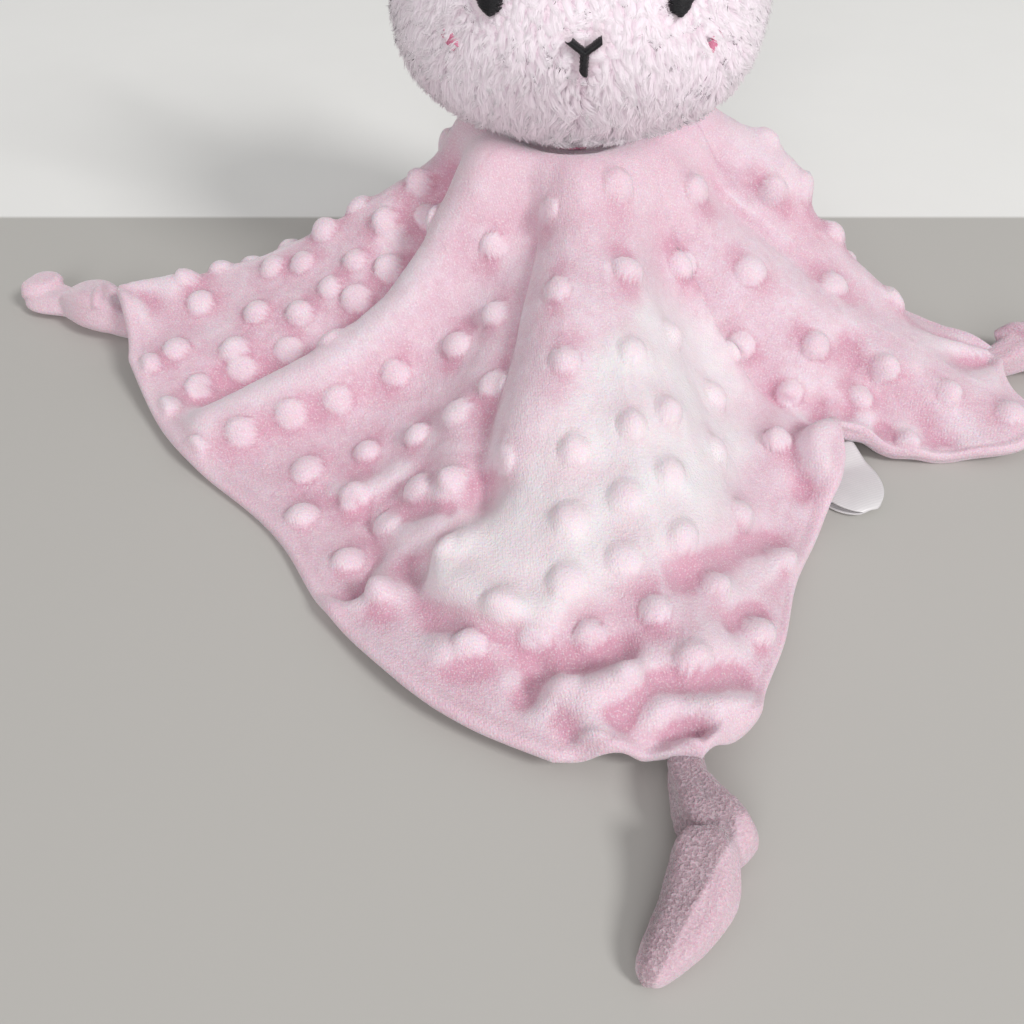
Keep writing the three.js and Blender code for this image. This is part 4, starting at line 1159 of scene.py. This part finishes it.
def scatter(grid, normals, spacing, seed, loop=True):
    # places in staggered rows over a grid, each shaken by up to a third of the spacing; the rows lie closer
    # than the places in a row, as in a lattice of triangles
    rng = np.random.default_rng(seed)
    wide = np.concatenate([grid, grid[:, :1]], 1) if loop else grid
    around = np.linalg.norm(np.diff(wide, axis=1), axis=-1).sum(1)
    along = np.concatenate([[0], np.linalg.norm(np.diff(grid, axis=0), axis=-1).mean(1).cumsum()])
    levels = np.arange(spacing / 2, along[-1], spacing * 0.87)
    counts = np.maximum(3, np.round(np.interp(levels, along, around) / spacing)).astype(int)
    level = np.repeat(np.arange(len(levels)), counts)
    place = np.arange(counts.sum()) - np.repeat(counts.cumsum() - counts, counts)
    shift = rng.uniform(-0.34, 0.34, (2, len(level)))
    row = np.interp(levels[level] + shift[0] * spacing, along, np.arange(len(along)))
    stagger = 0.5 + 0.5 * (level % 2) if loop else 0.5
    column = (place + stagger + shift[1]) / counts[level] * (wide.shape[1] - 1)
    return onGrid(grid, row, column, loop), unit(onGrid(normals, row, column, loop))


def makeFur(name, roots, normals, combs, lengths, seed, strands, width):
    # each lock's axis rises along the normal, bends over along the comb and turns as a small helix; its
    # strands start in a disc round the root, draw in towards the axis and stray a little at their tips
    count = len(roots)
    rng = np.random.default_rng(seed)
    side = unit(np.cross(normals, combs))
    front = np.cross(side, normals)
    shares = np.array([0, 0.36, 0.72, 1.0])
    phase, turns = rng.uniform(0, 2 * np.pi, (count, 1)), rng.uniform(1.5, 4.0, (count, 1))
    lean = fur["lean"] * rng.uniform(0.6, 1.35, (count, 1))
    up = lengths[:, None] * (shares - 0.34 * lean * shares ** 2)
    over = lengths[:, None] * lean * (0.2 * shares + 0.7 * shares ** 2)
    swing = fur["curl"] * shares
    axis = roots[:, None] + normals[:, None] * up[..., None]
    axis = axis + front[:, None] * (over + swing * np.cos(phase + turns * shares))[..., None]
    axis = axis + side[:, None] * (swing * np.sin(phase + turns * shares))[..., None]
    angle = rng.uniform(0, 2 * np.pi, (count, strands, 1))
    radius = np.sqrt(rng.uniform(0, 1, (count, strands, 1))) * fur["lock"]
    off = (front[:, None] * np.cos(angle) + side[:, None] * np.sin(angle)) * radius
    stray = rng.normal(0, fur["stray"], (count, strands, 1, 3)) * shares[:, None] ** 1.5
    path = axis[:, None] + off[:, :, None] * (1 - fur["gather"] * shares[:, None]) + stray
    start = path[:, :, :1]
    path = start + (path - start) * rng.uniform(0.72, 1.06, (count, strands, 1, 1))
    tangent = unit(np.gradient(path, axis=2))
    outward = unit(off * 0.5 + normals[:, None] * 0.8)[:, :, None]
    across = unit(np.cross(tangent, outward)) * width / 2 * np.array([1.0, 0.95, 0.7, 0])[:, None]
    points = np.concatenate([(path - across)[:, :, :3], (path + across)[:, :, :3], path[:, :, 3:]], 2)
    points = points.reshape(-1, 3)
    points[:, 2] = np.maximum(points[:, 2], clothUnder(points[:, 0], points[:, 1]))
    first = (np.arange(count * strands) * 7)[:, None]
    quads = np.concatenate([first + [0, 3, 4, 1], first + [1, 4, 5, 2]])
    piece = newPiece(name, points, [quads, first + [2, 5, 6]])
    paint(piece, "along", np.tile(shares[[0, 1, 2, 0, 1, 2, 3]], count * strands))
    tint = np.clip(0.4 + 0.45 * softNoise(roots, 9, 41) + rng.normal(0, 0.12, count), 0, 1)
    paint(piece, "tint", np.repeat(tint, strands * 7))
    shading = unit(outward * 0.7 + normals[:, None, None] * 0.55 + tangent * 0.1)
    shading = shading[:, :, [0, 1, 2, 0, 1, 2, 3]].reshape(-1, 3)
    piece.data.normals_split_custom_set_from_vertices(shading.astype(np.float32))
    piece.visible_shadow = False  # fine pile scatters light rather than shading itself
    return piece


def laidFlat(combs, normals):  # the part of each comb that lies along the surface
    return unit(combs - normals * np.sum(combs * normals, 1, keepdims=True))


def combHead(roots, normals):
    # the pile lies downwards and outwards with swirls, parts along the seam under the nose, and turns away
    # from the stitches, where it is clipped short
    swirl = [softNoise(roots, 14, seed) + 0.6 * softNoise(roots, 5, seed + 9) for seed in (31, 32, 33)]
    combs = np.array([0, 0, -1.0]) + roots * [0.012, 0, 0] + np.stack(swirl, -1)
    low = (roots[:, 1] < 0) & (roots[:, 2] < head["centre"] + face["fork"])
    combs[:, 0] += low * 0.6 * np.sign(roots[:, 0]) * bell(roots[:, 0], 2.4)
    off = stitchOff(roots)
    away = np.stack([stitchOff(roots + step) - stitchOff(roots - step) for step in np.eye(3) * 0.4], -1)
    combs += unit(away) * 2.2 * (1 - ease(off, 1.0, 5.0))[:, None]
    combs = laidFlat(combs, normals)
    lengths = fur["length"] * mix(0.34, 1, ease(off, 0.8, 6.0)) * (1 + 0.16 * softNoise(roots, 5, 40))
    lengths *= mix(1.5, 1, ease(roots[:, 2], 58, 74)) * (1 - 0.16 * low * bell(roots[:, 0], 1.6))
    return combs, lengths


def makeHeadFur():
    roots, normals = scatter(headGrid, headNormals, fur["spacing"], 5)
    kept = (stitchOff(roots) > 0.75) & (cheekOff(roots) > -1.35)
    roots, normals = roots[kept], normals[kept]
    combs, lengths = combHead(roots, normals)
    front, left, high = roots[:, 1] <= head["seamY"], roots[:, 0] < 0, roots[:, 2] > head["centre"]
    number = 0
    for where, facing in (("face", front), ("back", ~front)):
        for side, beside in (("Left", left), ("Right", ~left)):
            for level, beyond in (("High", high), ("Low", ~high)):
                part = facing & beside & beyond
                number += 1
                piece = makeFur(f"{where}Fur{side}{level}", roots[part], normals[part], combs[part],
                                lengths[part], 100 + number, fur[f"{where}Strands"], fur[f"{where}Width"])
                dress(piece, "head", [], "plush")
    print("head pile made of", len(roots), "locks")


makeHeadFur()

# Embroidery
stitch = {
    "thread": 0.36, "spacing": 0.72, "steps": 9, "height": 2.1, "arch": 0.4, "highlightLift": 0.5,
    "cheekLift": 0.2,
}


def faceDepth(x, z):  # how far forward the cover is at a place on the face, weighted from its nearest points
    front = headGrid[:, head["columns"] // 2:].reshape(-1, 3)
    off = (front[:, 0] - x.reshape(-1, 1)) ** 2 + (front[:, 2] - z.reshape(-1, 1)) ** 2
    near = np.argpartition(off, 6, axis=1)[:, :6]
    weight = 1 / (np.take_along_axis(off, near, 1) + 0.05)
    return ((front[near, 1] * weight).sum(1) / weight.sum(1)).reshape(x.shape)


def satinStitch(name, starts, ends, node, look, slot, lift=0.0):
    # threads laid side by side from starts to ends, each arching over the face as a power of a sine
    share = np.linspace(0, 1, stitch["steps"])
    flat = starts[:, None] + (ends - starts)[:, None] * share[None, :, None]
    arch = np.sin(np.pi * share) ** 0.5
    rise = mix(0.35, 1, arch) * (stitch["height"] + lift) + stitch["arch"] * arch
    paths = np.stack([flat[..., 0], faceDepth(flat[..., 0], flat[..., 1]) - rise, flat[..., 1]], -1)
    points, faces = tubes(paths, np.full(paths.shape[:2], stitch["thread"] / 2) * mix(0.8, 1, arch), 6)
    dress(newPiece(name, points, faces), "head", [node], look)


def ovalThreads(oval, sign, slant, seed, ragged, gap=1.0):
    # level threads across an oval, their ends a little uneven
    middleX, middleZ, halfX, halfZ = oval
    rng = np.random.default_rng(seed)
    level = np.arange(-halfZ + 0.1, halfZ, stitch["thread"] * stitch["spacing"] * gap)
    half = halfX * np.sqrt(np.clip(1 - (level / halfZ) ** 2, 0, 1)) + 0.2
    reach = half + rng.uniform(-ragged, ragged, (2, len(level)))
    turn = np.radians(slant * sign)
    middle = np.stack([np.full(len(level), sign * middleX), head["centre"] + middleZ + level], -1)
    along = np.array([np.cos(turn), np.sin(turn)])
    return middle - reach[0][:, None] * along, middle + reach[1][:, None] * along


def strokeThreads(start, end, width, seed):
    # slanted threads side by side along a stroke
    rng = np.random.default_rng(seed)
    run = end - start
    length = np.hypot(*run)
    across = np.array([-run[1], run[0]]) / length
    share = np.arange(0, 1, stitch["thread"] * stitch["spacing"] / length)[:, None]
    half = width / 2 * (1 + rng.uniform(-0.14, 0.14, (len(share), 1)))
    lean = run / length * width * 0.3
    middle = start + run * share
    return middle - across * half - lean, middle + across * half + lean


def makeEmbroidery():
    eyeX, eyeZ = face["eye"][:2]
    for number, (side, sign) in enumerate((("left", -1), ("right", 1))):
        title = side.capitalize()
        eye = ovalThreads(face["eye"], sign, 8, 50 + number, 0.25)
        satinStitch(f"eye{title}", *eye, f"eye_{side}", "black", "black_thread")
        glint = ovalThreads((eyeX - 1.05 * sign, eyeZ + 0.6, 0.8, 0.9), sign, 8, 60 + number, 0.08)
        satinStitch(f"eyeHighlight{title}", *glint, f"eye_highlight_{side}", "white", "white_thread",
                    stitch["highlightLift"])
        cheek = ovalThreads(face["cheek"], sign, 25, 70 + number, 0.7, gap=1.5)
        satinStitch(f"cheek{title}", *cheek, f"cheek_{side}", "pink", "pink_thread", stitch["cheekLift"])
    strokes = [strokeThreads(*stroke, 80 + number) for number, stroke in enumerate(noseStrokes())]
    starts, ends = (np.concatenate([stroke[k] for stroke in strokes]) for k in (0, 1))
    satinStitch("noseAndMouth", starts, ends, "nose_and_mouth", "black", "black_thread")
    print("embroidery made")


makeEmbroidery()


# Neck
neck = {"radius": 7.5, "pleats": 14, "seat": 57.0, "stitches": 26, "stitchRadius": 0.28, "fill": 0.9}


def makeNeck():
    # a pleated dome of plush under the head, and a ring of stitches arching over its foot
    turn, rise = np.meshgrid(np.arange(84) / 84 * 2 * np.pi, np.linspace(0, 1, 14))
    height = mix(neck["seat"] - nodPlace[2], neck["radius"] * 0.985, rise)
    radius = np.sqrt(np.maximum(neck["radius"] ** 2 - height ** 2, 0.5))
    radius = radius * (1 + 0.05 * np.cos(neck["pleats"] * turn) * (1 - rise))
    dome = np.stack([radius * np.cos(turn), radius * np.sin(turn), nodPlace[2] + height], -1)
    gather = newPiece("neckGather", *closedBall(dome))
    dress(gather, "neck", ["neck_gather"], "backing")
    share = np.linspace(-0.5, 0.5, 9)
    arch = np.cos(np.pi * share)
    angle = np.arange(neck["stitches"])[:, None] / neck["stitches"] * 2 * np.pi + share * 0.2
    reach = neck["radius"] + 0.9 + 0.25 * arch
    level = neck["seat"] + 0.35 + 0.35 * arch + 0 * angle
    paths = np.stack([reach * np.cos(angle), reach * np.sin(angle), level], -1)
    points, faces = tubes(paths, np.full(paths.shape[:2], neck["stitchRadius"]), 6)
    dress(newPiece("neckStitches", points, faces), "blanket", ["neck_stitches"], "pink")
    print("neck made")


makeNeck()

# Ears
ear = {
    "length": 62.0, "width": 27.0, "base": 13.0, "tip": 5.0, "thickness": 2.0, "edge": 0.5, "cup": 3.2,
    "lean": 7.0, "splay": 20.0, "start": -2.2, "gap": 0.15, "spacing": 2.3, "pile": 0.8, "strands": 38,
    "fill": 0.25,
}


def earSheets(name, sign, side):
    # the outline widens from the base to the belly as a sine and closes at the tip, is cupped across and
    # leans back along its length; the sheet is thickest in the middle
    share, aside = np.meshgrid(np.linspace(0, 1, 44), np.linspace(-1, 1, 27), indexing="ij")
    belly = np.sin(np.pi * share ** 0.8) ** 0.8
    close = np.sqrt(1 - 0.9 * np.clip((share - 0.93) / 0.07, 0, 1) ** 2)
    half = mix(mix(ear["base"], ear["tip"], share), ear["width"], belly) / 2 * close
    full = np.sqrt(1 - aside ** 2) * np.sin(np.pi * share)
    along = mix(ear["start"], ear["length"] - 4, share)
    wave = 0.5 * softNoise(np.stack([half * aside, 0 * half, along], -1), 12, 61 + side + sign)
    middle = ear["lean"] * share ** 2 - ear["cup"] * aside ** 2 * belly + wave * np.sin(np.pi * share)
    turn = np.radians(ear["splay"]) * sign
    hinge = jointPlaces[f"ear_{name}_flop"] - neckAxis
    sheets = []
    for off in (ear["gap"] + mix(ear["edge"], ear["thickness"], full), ear["gap"]):
        across = half * aside
        place = [across * np.cos(turn) + along * np.sin(turn), middle + side * off,
                 along * np.cos(turn) - across * np.sin(turn)]
        sheet = np.stack(place, -1) + hinge
        sheets.append(sheet if side < 0 else sheet[:, ::-1])
    return sheets


def makeEar(name, sign):
    title = name.capitalize()
    sheets = (("Back", 1, "backing", "shaggy_plush"), ("Lining", -1, "velour", "velour"))
    for kind, side, look, slot in sheets:
        outer, inner = earSheets(name, sign, side)
        piece = slab(f"ear{title}{kind}", outer, inner)
        dress(piece, f"ear_{name}", [f"ear_{name}_{kind.lower()}"], look)
        if side < 0:
            continue
        outward = unit(np.cross(np.gradient(outer, axis=1), np.gradient(outer, axis=0)))
        roots, normals = scatter(outer[1:-1], outward[1:-1], ear["spacing"], 90 + sign, loop=False)
        across, upward = 0.2 * sign + 0.7 * softNoise(roots, 9, 71), 1 + 0.7 * softNoise(roots, 9, 72)
        combs = laidFlat(np.stack([across, 0 * across, upward], -1), normals)
        lengths = np.full(len(roots), fur["length"] * ear["pile"])
        coat = makeFur(f"ear{title}Fur", roots, normals, combs, lengths, 300 + sign, ear["strands"],
                       fur["backWidth"])
        dress(coat, f"ear_{name}", [], "plush")


makeEar("left", -1)
makeEar("right", 1)
print("ears made")

# Table, light and camera
stageLook = {
    "table": (0.56, 0.55, 0.525), "wall": (0.98, 0.985, 0.97), "grain": (0.5, 0.49, 0.46), "edge": 56.0,
    "size": 1.6, "world": 0.38, "worldColour": (1, 0.99, 0.985, 1),
}
lamps = {
    # Lamps as place and target in metres, size, power and colour
    "keyLight": ((1.95, -1.55, 2.20), (0, 0, 0.04), 0.9, 50.0, (1, 0.985, 0.97)),
    "frontLight": ((-0.5, -3.0, 1.85), (0, 0, 0.05), 2.0, 38.0, (1, 0.99, 0.98)),
}


def makeFloor():
    # a matt table, paler beyond the line where the photograph's wall begins
    size = stageLook["size"]
    mesh = bpy.data.meshes.new("floor")
    corners = [(-size, -size, 0), (size, -size, 0), (size, size, 0), (-size, size, 0)]
    mesh.from_pydata(corners, [], [(0, 1, 2, 3)])
    floor = newObject("floor", mesh)
    look = Look("paleFloor", Roughness=0.75, Specular_IOR_Level=0.2)
    place = look.objectPlace()
    axis = look.add("ShaderNodeSeparateXYZ", {}, [place], "Y")
    far = ((axis - (stageLook["edge"] + neckAxis[1]) * 0.001) * 500.0).clamped()
    colour = look.blend(far, stageLook["table"], stageLook["wall"])
    look.feed(Base_Color=look.blend(look.noise(place, 30.0) * 0.06, colour, stageLook["grain"]))
    mesh.materials.append(look.material)


def makeLamp(name, place, target, size, power, colour):
    lamp = bpy.data.lights.new(name, "AREA")
    lamp.shape = "DISK"
    lamp.size = size
    lamp.energy = power
    lamp.color = colour
    holder = newObject(name, lamp)
    holder.location = place
    holder.rotation_euler = (Vector(target) - Vector(place)).to_track_quat("-Z", "Y").to_euler()


makeFloor()
for name, settings in lamps.items():
    makeLamp(name, *settings)
world = bpy.data.worlds.new("softRoom")
bpy.context.scene.world = world
world.use_nodes = True
background = world.node_tree.nodes["Background"]
background.inputs["Color"].default_value = stageLook["worldColour"]
background.inputs["Strength"].default_value = stageLook["world"]

cameraData = bpy.data.cameras.new("camera")
cameraData.sensor_width = 36
cameraData.lens = 36 * view["focal"] / view["frame"]
cameraData.clip_start = 0.01
camera = newObject("camera", cameraData)
camera.location = (np.array(view["place"]) + neckAxis) * 0.001
camera.rotation_euler = (np.radians(90 - view["down"]), 0, 0)
bpy.context.scene.camera = camera
bpy.context.scene.view_settings.view_transform = "Standard"
print("stage set")
